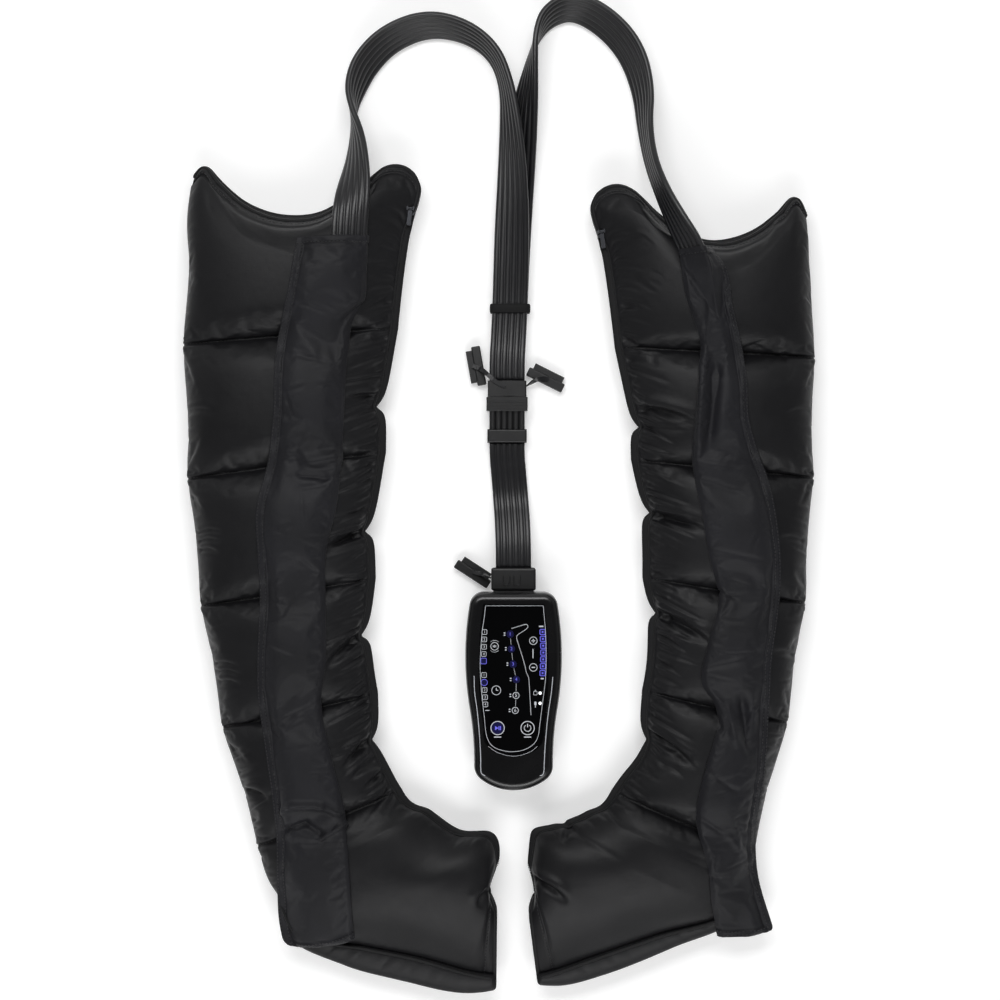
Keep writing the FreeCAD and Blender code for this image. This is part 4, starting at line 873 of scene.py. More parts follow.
# The zip starts here along the boot and is at its full width soon after, but less wide at a notch
ZIP_START = 0.1
ZIP_WIDENS = (0.08, 0.2)
NOTCH_TUCK = 0.55
COIL_OUT = 5.2 * MM
COIL = {"spacing": 2.0 * MM, "long": 1.3 * MM, "wide": 3.2 * MM, "high": 1.0 * MM}
STITCH = {"spacing": 4.2 * MM, "long": 2.8 * MM, "wide": 0.9 * MM, "high": 0.5 * MM}
# A stitch from end to end: along it as a share of its length, and up as a share of its height
STITCH_ARCH = ((-0.5, -0.3), (-0.25, 0.8), (0.25, 0.8), (0.5, -0.3))
STITCH_SHOULDER = 0.7
STITCH_RISE = 0.3 * MM
# Piping: its radius, how far it lies inside the zip's edge or outside the sole's, and its height
FRONT_PIPING, FRONT_PIPING_IN, FRONT_PIPING_RISE = 1.5 * MM, 0.5 * MM, 6.2 * MM
SOLE_PIPING, SOLE_PIPING_OUT, SOLE_PIPING_RISE = 2.2 * MM, 1.2 * MM, 8.6 * MM
# Bindings: their radius, their height from the edge that they cover, and how far down the front they turn
BINDING = 3.0 * MM
BINDING_LIFT = {"upper": -1.4 * MM, "lower": 2.6 * MM}
BINDING_TURN = 0.2
RING_SPACING = 2.5 * MM
RING_POINTS = 10
# Width of the sole in mm at places along the boot
SOLE_PLACES = (6, 6.5, 7.2, 8, 9, 9.6, TOE)
SOLE_WIDTHS = {"left": (2, 5, 18, 33, 33, 26, 17), "right": (3, 9, 18, 24, 25, 20, 12)}
# Half the sole's section: out in mm and in shares of its width, height in mm and how loose the cloth is
SOLE_SECTION = ((-2, 0, 7.4, 0), (1, 0, 8.4, 0), (0, 0.2, 8.8, 0.5), (0, 0.45, 8.2, 1), (0, 0.75, 6.2, 1),
                (0, 0.95, 3.4, 0.5), (0, 1, 1.2, 0))
SOLE_SEED = 3
# Wrinkles across the sole in mm: clear of its two ends, spacing and shift, depth and half width
WRINKLE_START, WRINKLE_END = 20, 8
WRINKLE_STEP = 9
WRINKLE_SHIFT = (-4, 4)
WRINKLE_DEPTH = (0.2, 1.3)
WRINKLE_HALF = (2, 3)


def binding(name, line, radius):
    """A round binding sewn over an edge, with rounded corners and ends."""
    line = soften(evenly(line, RING_SPACING), 2)
    count = np.arange(len(line))
    taper = np.sqrt(1 - (1 - ramp(np.minimum(count, count[::-1]), -0.3, 3)) ** 2)
    side, over = ways(line)[1:]
    turn = np.linspace(0, 2 * np.pi, RING_POINTS, endpoint=False)[None, :, None]
    rings = np.cos(turn) * side[:, None] + np.sin(turn) * over[:, None]
    strip(name, line[:, None] + (radius * taper)[:, None, None] * rings, "zip_tape")


def sewn(name, lines, spacing, long, wide, high):
    """Rows of stitches: each a short thread that dips into the cloth at both ends."""
    points = []
    faces = []
    for line in lines:
        places = evenly(line, spacing)
        for p, a, s, o in zip(places, *ways(places)):
            base = len(points)
            for along, lift in STITCH_ARCH:
                middle = p + a * along * long
                shoulder = o * high * (lift - STITCH_SHOULDER)
                points += [middle + s * wide / 2 + shoulder, middle + o * high * lift,
                           middle - s * wide / 2 + shoulder]
            faces += grid_faces(4, 3, ring=True, start=base)
            faces += [(base, base + 1, base + 2), (base + 11, base + 10, base + 9)]
    outward(new_piece(name, points, faces, "zip_tape", THREAD))


def build_zip(side):
    """Two zip tapes with the coil between them, narrower where a notch tucks them in."""
    u = boot_places()
    u = u[u >= ZIP_START]
    edge = flat_pad(side, u, np.array([1.0, 0.0]), True)[:, 0]
    reach = (1 - NOTCH_TUCK * notch_pull(side, u) ** 2) * ramp(u, *ZIP_WIDENS)
    out = boot_edges(side, u)[2] * reach[:, None]
    for level, turn in (("upper", 1), ("lower", -1)):
        sections = [at_level(edge + out * a * MM, LEG_MIDDLE + turn * z * MM) for a, z in ZIP_TAPE]
        piece = strip(f"{side}_{level}_zip_tape", np.stack(sections, axis=1), "zip_tape")
        if level == "upper":
            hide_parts(f"{side}_boot_zip")
    sewn(f"{side}_zip_coil", [at_level(edge + out * COIL_OUT, LEG_MIDDLE)], **COIL)

    # Piping along the gathered seam, just inside the tape
    piping = at_level(edge - out * FRONT_PIPING_IN, LEG_MIDDLE + FRONT_PIPING_RISE)
    binding(f"{side}_front_piping", piping, FRONT_PIPING)


def build_bindings(side):
    """The bindings round mouth and toe, and the stitches along the cells' seams and the hems."""
    u, top, low = boots[side][1:]
    toe_way = np.append(boot_edges(side, u[-1:])[2][0], 0)
    for label, skin in (("upper", top), ("lower", low[:, ::-1])):
        mouth = np.concatenate([skin[u < BINDING_TURN][:0:-1, 0], skin[0]])
        corner = skin[-1, -1] - toe_way * SOLE_WIDTHS[side][-1] * MM
        toe = np.concatenate([skin[-1], np.linspace(skin[-1, -1], corner, 6)[1:]])
        for place, line in (("mouth", mouth), ("toe", toe)):
            binding(f"{side}_{label}_{place}_binding", line + (0, 0, BINDING_LIFT[label]), BINDING)
    lines = [top[np.argmin(np.abs(u - seam)), 4:-4] for seam in SEAMS]
    run = run_along(top)
    for skin, away, hem in ((top, run, HEM_WIDTH), (top[::-1], (run[-1] - run)[::-1], TOE_HEM[side])):
        line = []
        for c in range(3, TOP_COLUMNS - 3):
            line.append([np.interp(hem, away[:, c], skin[:, c, k]) for k in range(3)])
        lines.append(np.array(line))
    sewn(f"{side}_boot_stitches", [line + (0, 0, STITCH_RISE) for line in lines], **STITCH)


def build_sole(side):
    """The gusset along the sole, which widens from the heel and is wrinkled across."""
    u = boot_places()
    u = u[u >= HEEL]
    back, _, ahead = boot_edges(side, u)
    wide = smooth_through(SOLE_PLACES, SOLE_WIDTHS[side], u)
    chance = np.random.default_rng(SOLE_SEED)
    run = run_along(back) / MM
    wrinkle = np.zeros(len(u))
    for place in np.arange(WRINKLE_START, run[-1] - WRINKLE_END, WRINKLE_STEP):
        deep = chance.uniform(*WRINKLE_DEPTH)
        away = run - place - chance.uniform(*WRINKLE_SHIFT)
        wrinkle += deep * crease(away, chance.uniform(*WRINKLE_HALF))
    outline = [*SOLE_SECTION, *[(fixed, share, -z, 0) for fixed, share, z, _ in reversed(SOLE_SECTION)]]
    sections = []
    for fixed, share, z, loose in outline:
        place = back - ahead * (np.minimum(fixed + share * wide, wide) * MM)[:, None]
        sections.append(np.column_stack([place, LEG_MIDDLE + (z + loose * wrinkle) * MM]))
    piece = strip(f"{side}_sole_gusset", np.stack(sections, axis=1), "boot_fabric")
    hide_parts(f"{side}_boot_sole")
    piping = at_level(back - ahead * SOLE_PIPING_OUT, LEG_MIDDLE + SOLE_PIPING_RISE)
    binding(f"{side}_sole_piping", piping, SOLE_PIPING)


for side in SIDES:
    build_zip(side)
    build_bindings(side)
    build_sole(side)


# Sleeves: flat fabric tunnels that take the tubes down each boot

# The two long edges of each sleeve in the photo's pixels, from its mouth to the heel
SLEEVE_EDGES = {
    "left": ([(297, 237), (289, 285), (276, 348), (273, 420), (268, 457), (256, 513), (258, 560), (259, 591),
              (257, 668), (257, 692), (266, 758), (273, 812), (275, 843), (276, 890), (278, 922), (284, 950)],
             [(368, 235), (366, 270), (363, 302), (353, 318), (348, 348), (343, 420), (341, 457), (336, 507),
              (326, 549), (325, 610), (325, 668), (321, 694), (334, 770), (346, 822), (349, 843),
              (355, 935)]),
    "right": ([(714, 248), (726, 270), (733, 309), (742, 344), (747, 381), (749, 420), (757, 448),
               (768, 476), (778, 524), (782, 582), (772, 668), (771, 696), (766, 776), (757, 836),
               (758, 870), (775, 933)],
              [(679, 249), (686, 298), (701, 344), (697, 400), (693, 463), (702, 515), (711, 563),
               (719, 595), (707, 649), (703, 687), (714, 702), (703, 780), (697, 816), (708, 870),
               (711, 903), (718, 936)]),
}
# Ridges and hollows in the sleeves, in pixels from end to end, then rise and half width in mm
SLEEVE_FOLDS = {
    "left": [(304, 463, 337, 456, 7, 8), (300, 475, 326, 477, -4, 4), (318, 482, 342, 473, -1.5, 3),
             (300, 488, 332, 484, -1.2, 3), (278, 815, 293, 804, 6, 4), (293, 804, 320, 804, 8, 4),
             (320, 804, 338, 813, 6.5, 4), (280, 832, 306, 823, -5.5, 4), (306, 823, 322, 834, -5.5, 4),
             (322, 838, 347, 823, 4, 3), (364, 303, 344, 319, -3, 3), (292, 299, 323, 312, -1.3, 3),
             (294, 354, 332, 364, -1.2, 3), (282, 720, 322, 700, -1.5, 3), (284, 728, 300, 716, 2, 4),
             (300, 560, 318, 574, -1.3, 3), (262, 640, 292, 652, -1.2, 3), (276, 845, 349, 842, -1.5, 3),
             (282, 806, 340, 808, 4, 26)],
    "right": [(714, 256, 706, 345, -2, 4), (716, 368, 709, 440, -9, 7), (704, 358, 699, 447, 6, 4),
              (700, 462, 744, 470, 1.5, 4), (698, 478, 740, 492, -1.5, 4), (704, 548, 760, 560, -1.2, 3),
              (712, 590, 735, 597, -3, 3), (704, 668, 740, 660, 2, 4), (742, 700, 750, 748, -7, 6),
              (728, 706, 736, 742, 4, 5), (706, 770, 736, 792, -2, 3), (738, 820, 748, 850, -2.5, 4),
              (700, 818, 720, 832, -2, 3), (730, 838, 750, 860, 2, 4), (716, 880, 762, 905, -1, 5),
              (702, 806, 755, 812, 4, 26), (706, 716, 722, 728, -4, 6)],
}
# Heights at which the edges are seen, lower towards the end of the flap
SLEEVE_LEVEL = 74 * MM
FLAP_LEVELS = (74 * MM, 60 * MM, 48 * MM, 42 * MM)
SLEEVE_ROWS = 290
SLEEVE_COLUMNS = 30
SLEEVE_EVEN = 0.55
SLEEVE_FLAT = (0.088, 0.86)
# The flap's end: how far its middle stands out, from where and over what span, and its corner's radius
FLAP_ROUND = {"left": 8 * MM, "right": 3 * MM}
FLAP_END = (0.93, 0.07)
FLAP_CORNER = {"left": 15 * MM, "right": 9 * MM}
# Off the boot, the cloth falls this far from row to row and lies no lower than this
GROUND_FALL = 0.9 * MM
GROUND_LEAST = 34 * MM
# The cloth over the boot and over the hose, its thickness, and its least height once it is simulated
SLEEVE_GAP = 1.6 * MM
HOSE_GAP = 1.8 * MM
SLEEVE_THICK = 1.3 * MM
FINISHED_GAP = 0.8 * MM
# Between high places the cloth is softened over this many rows, and lies this far above them
BRIDGE_ROWS = 12
BRIDGE_GAP = 1.0 * MM
# How much the columns beside the sewn edges are held, and the rows of stitches in mm from the edge
EDGE_HOLD = 0.9
MARGIN_STITCHES = (1.6, 7.4)
MARGIN_RISE = 0.2 * MM
# The tunnel: its rise, from where and over what span from the sewn edge, and its span at the other edge
TUNNEL_RISE = 8 * MM
TUNNEL_START = (8 * MM, 13 * MM)
TUNNEL_END = 4 * MM
# Rows that can lie over the hose, rows that it can hold up, and how far these fall from row to row
HOSE_ROWS = 70
HELD_ROWS = 110
COVER_FALL = 0.8 * MM
# Loose creases: how many, and in mm their length, depth and half width
LOOSE_CREASES = 34
LOOSE_LONG = (8, 24)
LOOSE_DEPTH = (0.3, 1.0)
LOOSE_HALF = (1.7, 3.0)
LOOSE_SEED = 20
# How far a fold runs past its ends, and over what share of its length it fades
SLEEVE_FADE = (0.2, 0.3)
# The sewn margin in mm: folds are weak up to its width, and the hem stands up and sinks at its thread
MARGIN_FOLDS = (9, 6)
MARGIN_LEAST = 0.25
MARGIN_HEM = (8, 1.6)
MARGIN_STEP = 1.1
MARGIN_THREAD = (9.5, 1.4)
RAY_START = 0.3


def surface_tree(piece):
    mesh = piece.data
    return BVHTree.FromPolygons([v.co for v in mesh.vertices], [p.vertices for p in mesh.polygons])


def top_of(tree, x, y):
    """The highest point of a surface at a place, or None beside it."""
    hit = tree.ray_cast(Vector((x, y, RAY_START)), Vector((0, 0, -1)))[0]
    return hit.z if hit else None


def crinkled(side, cloth, inset):
    """Work the folds of the photo, small loose creases and the sewn margin into a sleeve."""
    rows, columns = cloth.shape[:2]
    rise = np.zeros((rows, columns))
    flat = cloth[..., :2]
    for *line, high, half in SLEEVE_FOLDS[side]:
        along, above = beside(flat, *line, SLEEVE_LEVEL)
        past, span = SLEEVE_FADE
        fade = ramp(along, -past, span) * np.clip((1 + past - along) / span, 0, 1)
        rise += high * hump(above, 0, half) * fade
    chance = np.random.default_rng(GATHER_SEED[side] + LOOSE_SEED)
    for _ in range(LOOSE_CREASES):
        row = chance.integers(20, rows - 30)
        column = chance.integers(12, columns - 12)
        way = unit(flat[row + 8] - flat[row - 8])[column]
        turn = chance.normal(math.pi / 2, 0.6)
        way = np.array([way[0] * math.cos(turn) - way[1] * math.sin(turn),
                        way[0] * math.sin(turn) + way[1] * math.cos(turn)])
        off = (flat - flat[row, column]) / MM
        along, above = off @ way, off @ np.array([-way[1], way[0]])
        fade = np.clip(1 - (along / chance.uniform(*LOOSE_LONG)) ** 2, 0, 1)
        rise += chance.uniform(*LOOSE_DEPTH) * crease(above, chance.uniform(*LOOSE_HALF)) * fade
    rise *= MARGIN_LEAST + (1 - MARGIN_LEAST) * ramp(inset / MM, *MARGIN_FOLDS)
    long = np.linspace(0, 1, rows)[:, None] * SLEEVE_FLAT[1]
    margin = np.minimum(inset, np.minimum(long, SLEEVE_FLAT[1] - long)) / MM
    rise += MARGIN_STEP * (1 - ramp(margin, *MARGIN_HEM)) - hump(margin, *MARGIN_THREAD)
    return lifted(cloth, rise)


def taut(across, heights):
    """Cloth stretched over a row of heights, straight from one high point to the next."""
    high = []
    for x, z in zip(across, heights):
        while len(high) > 1 and (high[-1][1] - high[-2][1]) * (x - high[-2][0]) \
                <= (z - high[-2][1]) * (high[-1][0] - high[-2][0]):
            high.pop()
        high.append((x, z))
    return np.interp(across, *np.array(high).T)


def sleeve_edges(side):
    """The two long edges of a sleeve seen from above, with the flap's outer corner rounded."""
    edges = []
    for pixels in SLEEVE_EDGES[side]:
        levels = (SLEEVE_LEVEL,) * (len(pixels) - len(FLAP_LEVELS)) + FLAP_LEVELS
        line = np.array([seen_at(px, py, level) for (px, py), level in zip(pixels, levels)])
        run = run_along(line)
        edges.append(smooth_through(run, line, np.linspace(0, run[-1], SLEEVE_ROWS)))
    first, last = edges
    to_end = run_along(first[::-1])[::-1]
    bend = 1 - np.clip(to_end / FLAP_CORNER[side], 0, 1)
    first = first + unit(last - first) * (FLAP_CORNER[side] * (1 - np.sqrt(1 - bend ** 2)))[:, None]
    return first, last


def sleeve_ground(tree, flat):
    """The height of the boot under each place of a sleeve. Past the boot's edge it falls row by row."""
    ground = np.zeros(flat.shape[:2])
    for r, c in np.ndindex(ground.shape):
        height = top_of(tree, *flat[r, c])
        if height is None:
            height = max(ground[r - 1, c] - GROUND_FALL, GROUND_LEAST) if r else LEG_MIDDLE
        ground[r, c] = height
    return ground


def hose_cover(tree, flat, inset, ground):
    """The least height of the cloth over the hose, taut across it and falling slowly beyond its end."""
    covered = np.full(flat.shape[:2], -1.0)
    for r, c in np.ndindex(HOSE_ROWS, SLEEVE_COLUMNS):
        over_hose = top_of(tree, *flat[r, c])
        if over_hose:
            covered[r, c] = over_hose + HOSE_GAP
    for r in range(HELD_ROWS):
        if covered[r].max() > 0:
            covered[r] = taut(inset[r], np.maximum(covered[r], ground[r] + SLEEVE_GAP))
        if r:
            covered[r] = np.maximum(covered[r], covered[r - 1] - COVER_FALL)
    return covered


def build_sleeve(side, hose):
    first, last = sleeve_edges(side)
    turn = np.linspace(0, 1, SLEEVE_COLUMNS)
    w = SLEEVE_EVEN * turn + (1 - SLEEVE_EVEN) / 2 * (1 - np.cos(np.pi * turn))
    flat = first[:, None] + (last - first)[:, None] * w[None, :, None]
    ahead = unit(np.gradient((first + last) / 2, axis=0))
    end = ramp(np.arange(SLEEVE_ROWS) / SLEEVE_ROWS, *FLAP_END)
    stands_out = FLAP_ROUND[side] * np.sin(np.pi * w) ** 0.8
    flat += ahead[:, None] * stands_out[None, :, None] * end[:, None, None]
    ground = sleeve_ground(surface_tree(boots[side][0]), flat)
    wide = np.linalg.norm(last - first, axis=1)[:, None]
    inset = w[None] * wide
    tunnel = ramp(inset, *TUNNEL_START) * np.clip((1 - w)[None] * wide / TUNNEL_END, 0, 1)
    tunnel = tunnel * tunnel * (3 - 2 * tunnel)
    bridge = soften(ground, BRIDGE_ROWS) + BRIDGE_GAP
    height = np.maximum(ground + SLEEVE_GAP, bridge + TUNNEL_RISE * tunnel)
    covered = hose_cover(surface_tree(hose), flat, inset, ground)
    height = np.maximum(height, covered)
    height = np.maximum(soften(height.T, 2).T, covered)
    cloth = np.dstack([flat, soften(height, 2)])
    held = np.zeros(flat.shape[:2])
    held[0] = held[-1] = held[:, 0] = held[:, -1] = 1
    held[:, 1:3] = held[:, -3:-1] = EDGE_HOLD
    cloth = swell(cloth, held, air=0.5, spare=0.01, frames=14, cap=6 * MM)
    cloth[..., 2] = np.maximum(cloth[..., 2], covered)
    inset = finer_both(inset)
    cloth = crinkled(side, finer_both(cloth), inset)
    cloth[..., 2] = np.maximum(cloth[..., 2], finer_both(np.maximum(covered, ground)) + FINISHED_GAP)
    under = cloth[:, ::-1] - (0, 0, SLEEVE_THICK)
    piece = strip(f"{side}_sleeve_cloth", np.concatenate([cloth, under], axis=1), "boot_fabric",
                  FINISHES["sleeve_fabric"])
    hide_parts(f"{side}_hose_sleeve")
    margin = [np.argmin(np.abs(inset[len(inset) // 2] - away * MM)) for away in MARGIN_STITCHES]
    lines = [cloth[6:-6, c] for c in margin] + [cloth[r, 2:-2] for r in (5, -3, -6)]
    sewn(f"{side}_sleeve_stitches", [line + (0, 0, MARGIN_RISE) for line in lines], **STITCH)


for side, hose in zip(SIDES, (left_hose, right_hose)):
    build_sleeve(side, hose)


# Marks on the pump's panel, raised 0.14 mm like thick ink, and silver wires that paint highlights along the
# edges of the panel and the case

PANEL_LEVEL = 52 * MM
KEY_LEVEL = 52.3 * MM
INK = 0.14 * MM
SUNK = 0.02 * MM
# Half the width of the lines on the panel and the case
BORDER_LINE = 0.34 * MM
# A painted highlight along the edges of the case's raised middle
EDGE_HIGHLIGHT_LINE = 0.5 * MM
# A painted highlight along the panel's lower edge
PANEL_EDGE_HIGHLIGHT_LINE = 0.22 * MM
LEG_LINE = 0.36 * MM
THIN_LINE = 0.25 * MM
POWER_LINE = 0.5 * MM
# Widths of frames and rings, and heights of figures
FRAME_WIDTH = 0.6 * MM
RING_WIDTH = 0.7 * MM
LARGE_RING_WIDTH = 0.95 * MM
BOX_FIGURE = 4.6 * MM
KEY_FIGURE = 5.6 * MM
PUMP_MIDDLE = (16, -132)
# Keys in mm from the pump's middle, and the radius of the ring on each
KEY_RINGS = {
    "power_button": (16.4, -42.1, 8.3), "start_button": (-18.8, -42.1, 8.3),
    "pressure_up_button": (23.1, 60.4, 4.8), "pressure_down_button": (23.1, 29.1, 4.8),
    "mode_button": (-22.4, 53.9, 4.8), "timer_button": (-20.4, 2.2, 5.6),
    "chamber_button_1": (-4.1, 68.2, 4.0), "chamber_button_2": (-2.6, 50.9, 4.0),
    "chamber_button_3": (-0.7, 32.9, 4.0), "chamber_button_4": (3.1, 14.9, 4.0),
    "chamber_button_5": (2.8, -3.8, 4.0), "chamber_button_6": (1.9, -21.4, 4.0),
}
LARGE_KEYS = ("power_button", "start_button")
CHAMBER_KEYS = tuple(f"chamber_button_{number}" for number in range(1, 7))
LIT_KEYS = CHAMBER_KEYS[:4]
# The lines between chamber keys stop this far from their middles
KEY_CLEAR = 5.0 * MM
# Bars in the keys' signs: across and along from the key's middle, then width and height in mm
KEY_BARS = {
    "power_button": ((0, 2.9, 1.1, 4.2),),
    "pressure_up_button": ((0, 0, 4.2, 1.2), (0, 0, 1.2, 4.2)),
    "pressure_down_button": ((0, 0, 4.2, 1.2),),
    "mode_button": ((-1.5, 0, 0.8, 2.3), (0, 0, 0.8, 3.2), (1.5, 0, 0.8, 2.3)),
    "timer_button": ((0, 1.4, 0.8, 3.0), (1.1, 0, 2.4, 0.8)),
}
START_BARS = ((1.6, 0, 1.1, 4.8), (3.4, 0, 1.1, 4.8))
# Radii in mm of the lamps under keys
KEY_LAMPS = {"start_button": 7.2, **{key: 4.3 for key in LIT_KEYS}}
# Lines on the panel, in the photo's pixels
PANEL_BORDER = [(485.6, 605.8), (484, 619), (482, 633), (480.4, 655), (480.2, 672), (482, 697), (484.2, 716),
                (486, 733), (489.4, 742.6), (495.5, 748), (504.7, 751), (513.3, 751.7), (522.3, 750.4),
                (530, 746.8), (535.3, 742), (538.4, 735), (540, 722.9), (541.8, 709), (544, 692),
                (545.7, 676), (546.2, 655), (545.4, 630), (543.2, 605.8)]
# Painted highlights along both edges of the case's raised middle, drawn as silver wires
SIDE_EDGE_HIGHLIGHTS = ([(474.1, 676), (474.6, 692), (477.2, 711), (479.5, 736), (480.6, 756), (480.8, 770), (482, 774),
               (485, 775.6)],
              [(552.8, 677), (551.4, 692), (547.8, 717), (545.3, 744), (544.3, 762), (543.9, 771),
               (542.6, 774.6), (539.8, 775.8)])
# A painted highlight: a thin silver line along the panel's lower edge
PANEL_EDGE_HIGHLIGHT = [(488.3, 746.4), (497.8, 752.6), (513.1, 756.2), (528.5, 752.7), (537.4, 746.4)]
LEG_SIGN = [(511.5, 628.5), (519, 626.2), (525.6, 624.4), (527.6, 625.4), (527.6, 627.4), (525, 630),
            (518, 634.6), (516.6, 637.6), (518, 643), (521.5, 654), (524.5, 664), (526.3, 672),
            (528.6, 677.6), (529.2, 684), (530, 697), (531, 715)]
# Small boxes with figures, in two columns on the left, and the lit ones between them
FIGURE_BOXES = (((484.55, 632), (484.3, 639.4), (484.05, 646.8), (483.8, 654)),
                ((484, 675), (484.6, 690), (485, 697.2), (485.4, 704.4)))
LIT_BOX = (483.6, 661)
LIT_ROUND = (484.2, 682.4)
# Bars on the panel: their place in pixels, then width and height in mm
PANEL_BARS = ((487.4, 710.4, 5.0, 0.9), (541.2, 626.4, 5.2, 1.6), (542.2, 678.6, 3.6, 1.6),
              (533, 653.6, 1.1, 11), (535.4, 690.4, 1.8, 1.0), (535.4, 703.4, 2.6, 4.2),
              (535.4, 706.4, 0.9, 2.6))
LAMP_FRAME = (535.4, 693.2)
WHITE_LAMPS = ((540.1, 693.1), (540.1, 703.3))
# The scale on the right: its first tile and the bow and spacing of the others, in pixels
SCALE_TILES = 7
SCALE_START = (542.6, 632)
SCALE_BOW = 0.7
SCALE_STEP = 6.85
TILE_SIDE = 5.6 * MM


def on_panel(px, py):
    return seen_at(px, py, PANEL_LEVEL)


def on_key(key, across=0, along=0):
    """A place on a key, in mm from its middle."""
    x, y, _ = KEY_RINGS[key]
    return (PUMP_MIDDLE[0] + x + across) * MM, (PUMP_MIDDLE[1] + y + along) * MM


def start_flat(kind, place, level, **sizes):
    """A flat shape, alone in edit mode with all of it selected."""
    bpy.ops.object.select_all(action="DESELECT")
    operator = bpy.ops.mesh.primitive_circle_add if kind == "circle" else bpy.ops.mesh.primitive_plane_add
    operator(location=(*place, level - SUNK), **sizes)
    bpy.ops.object.mode_set(mode="EDIT")
    return bpy.context.object


def raise_flat(piece, height=INK):
    """Give the flat shape its thickness and leave edit mode."""
    bpy.ops.mesh.select_all(action="SELECT")
    bpy.ops.mesh.extrude_region_move(TRANSFORM_OT_translate={"value": (0, 0, height + SUNK)})
    bpy.ops.mesh.select_all(action="SELECT")
    bpy.ops.mesh.normals_make_consistent(inside=False)
    bpy.ops.object.mode_set(mode="OBJECT")
    return piece


def hollow_out(width):
    """Keep only a border of the flat face in edit mode."""
    bpy.ops.mesh.inset(thickness=width)
    bpy.ops.mesh.delete(type="FACE")


def ring_mark(place, radius, width, level=PANEL_LEVEL):
    piece = start_flat("circle", place, level, vertices=40, radius=radius, fill_type="NGON")
    hollow_out(width)
    return raise_flat(piece)


def disc_mark(place, radius, level=PANEL_LEVEL):
    """A lamp window: a disc with a slightly domed middle."""
    piece = start_flat("circle", place, level, vertices=32, radius=radius, fill_type="NGON")
    bpy.ops.mesh.inset(thickness=radius * 0.35, depth=0.05 * MM)
    return raise_flat(piece, INK * 0.6)


def frame_mark(place, side, width=FRAME_WIDTH):
    piece = start_flat("plane", place, PANEL_LEVEL, size=side)
    bpy.ops.mesh.bevel(offset=side * 0.22, segments=4, affect="VERTICES")
    hollow_out(width)
    return raise_flat(piece)


def tile_mark(place):
    piece = start_flat("plane", place, PANEL_LEVEL, size=TILE_SIDE)
    bpy.ops.mesh.bevel(offset=TILE_SIDE * 0.2, segments=3, affect="VERTICES")
    return raise_flat(piece, INK * 0.7)


def bar_mark(place, wide, high, level=PANEL_LEVEL, height=INK):
    """A bar with rounded corners, its width and height in mm."""
    piece = start_flat("plane", place, level, size=1)
    bpy.ops.transform.resize(value=(wide * MM, high * MM, 1))
    bpy.ops.mesh.bevel(offset=min(wide, high) * MM * 0.35, segments=3, affect="VERTICES")
    return raise_flat(piece, height)


def arrow_mark(place, radius, level):
    piece = raise_flat(start_flat("circle", place, level, vertices=3, radius=radius, fill_type="NGON"))
    piece.rotation_euler.z = -math.pi / 2
    return piece


def figure_mark(text, place, high, level=PANEL_LEVEL):
    bpy.ops.object.select_all(action="DESELECT")
    bpy.ops.object.text_add(location=(*place, level))
    piece = bpy.context.object
    piece.data.body = text
    piece.data.size = high
    piece.data.align_x = "CENTER"
    piece.data.align_y = "CENTER"
    piece.data.extrude = INK
    piece.data.resolution_u = 3
    bpy.ops.object.convert(target="MESH")
    return bpy.context.object


def line_mark(points, radius, closed=False):
    """A thin round wire, sunk to its middle in the surface that it follows."""
    curve = bpy.data.curves.new("line", "CURVE")
    curve.dimensions = "3D"
    curve.bevel_depth = radius
    curve.bevel_resolution = 2
    curve.use_fill_caps = True
    spline = curve.splines.new("POLY")
    spline.points.add(len(points) - 1)
    for control, point in zip(spline.points, points):
        control.co = (*point, 1)
    spline.use_cyclic_u = closed
    piece = bpy.data.objects.new("line", curve)
    bpy.context.scene.collection.objects.link(piece)
    bpy.ops.object.select_all(action="DESELECT")
    piece.select_set(True)
    bpy.context.view_layer.objects.active = piece
    bpy.ops.object.convert(target="MESH")
    return bpy.context.object


def arc_mark(middle, reach, start, end, steps, radius, level=PANEL_LEVEL):
    """A wire along an arc, from one angle to another."""
    points = []
    for angle in np.linspace(start, end, steps):
        points.append((middle[0] + reach * math.cos(angle), middle[1] + reach * math.sin(angle), level))
    return line_mark(points, radius)


def rounded_path(pixels, level=PANEL_LEVEL, tree=None, steps=10):
    """Points on a smooth line through pixels of the photo, at a level or down on a surface."""
    line = np.array([seen_at(px, py, level) for px, py in pixels])
    last = len(line) - 1
    line = smooth_through(np.arange(len(line)), line, np.linspace(0, last, steps * last + 1))
    return [(x, y, top_of(tree, x, y) if tree else level) for x, y in line]


def keep_marks(name, marks, finish, body="pump"):
    """Join marks that share a finish into one piece."""
    bpy.ops.object.select_all(action="DESELECT")
    for mark in marks:
        mark.select_set(True)
    bpy.context.view_layer.objects.active = marks[0]
    bpy.ops.object.join()
    bpy.ops.object.transform_apply(location=True, rotation=True, scale=True)
    piece = bpy.context.object
    piece.name = name
    dress(piece, finish)
    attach(piece, body)
    return piece


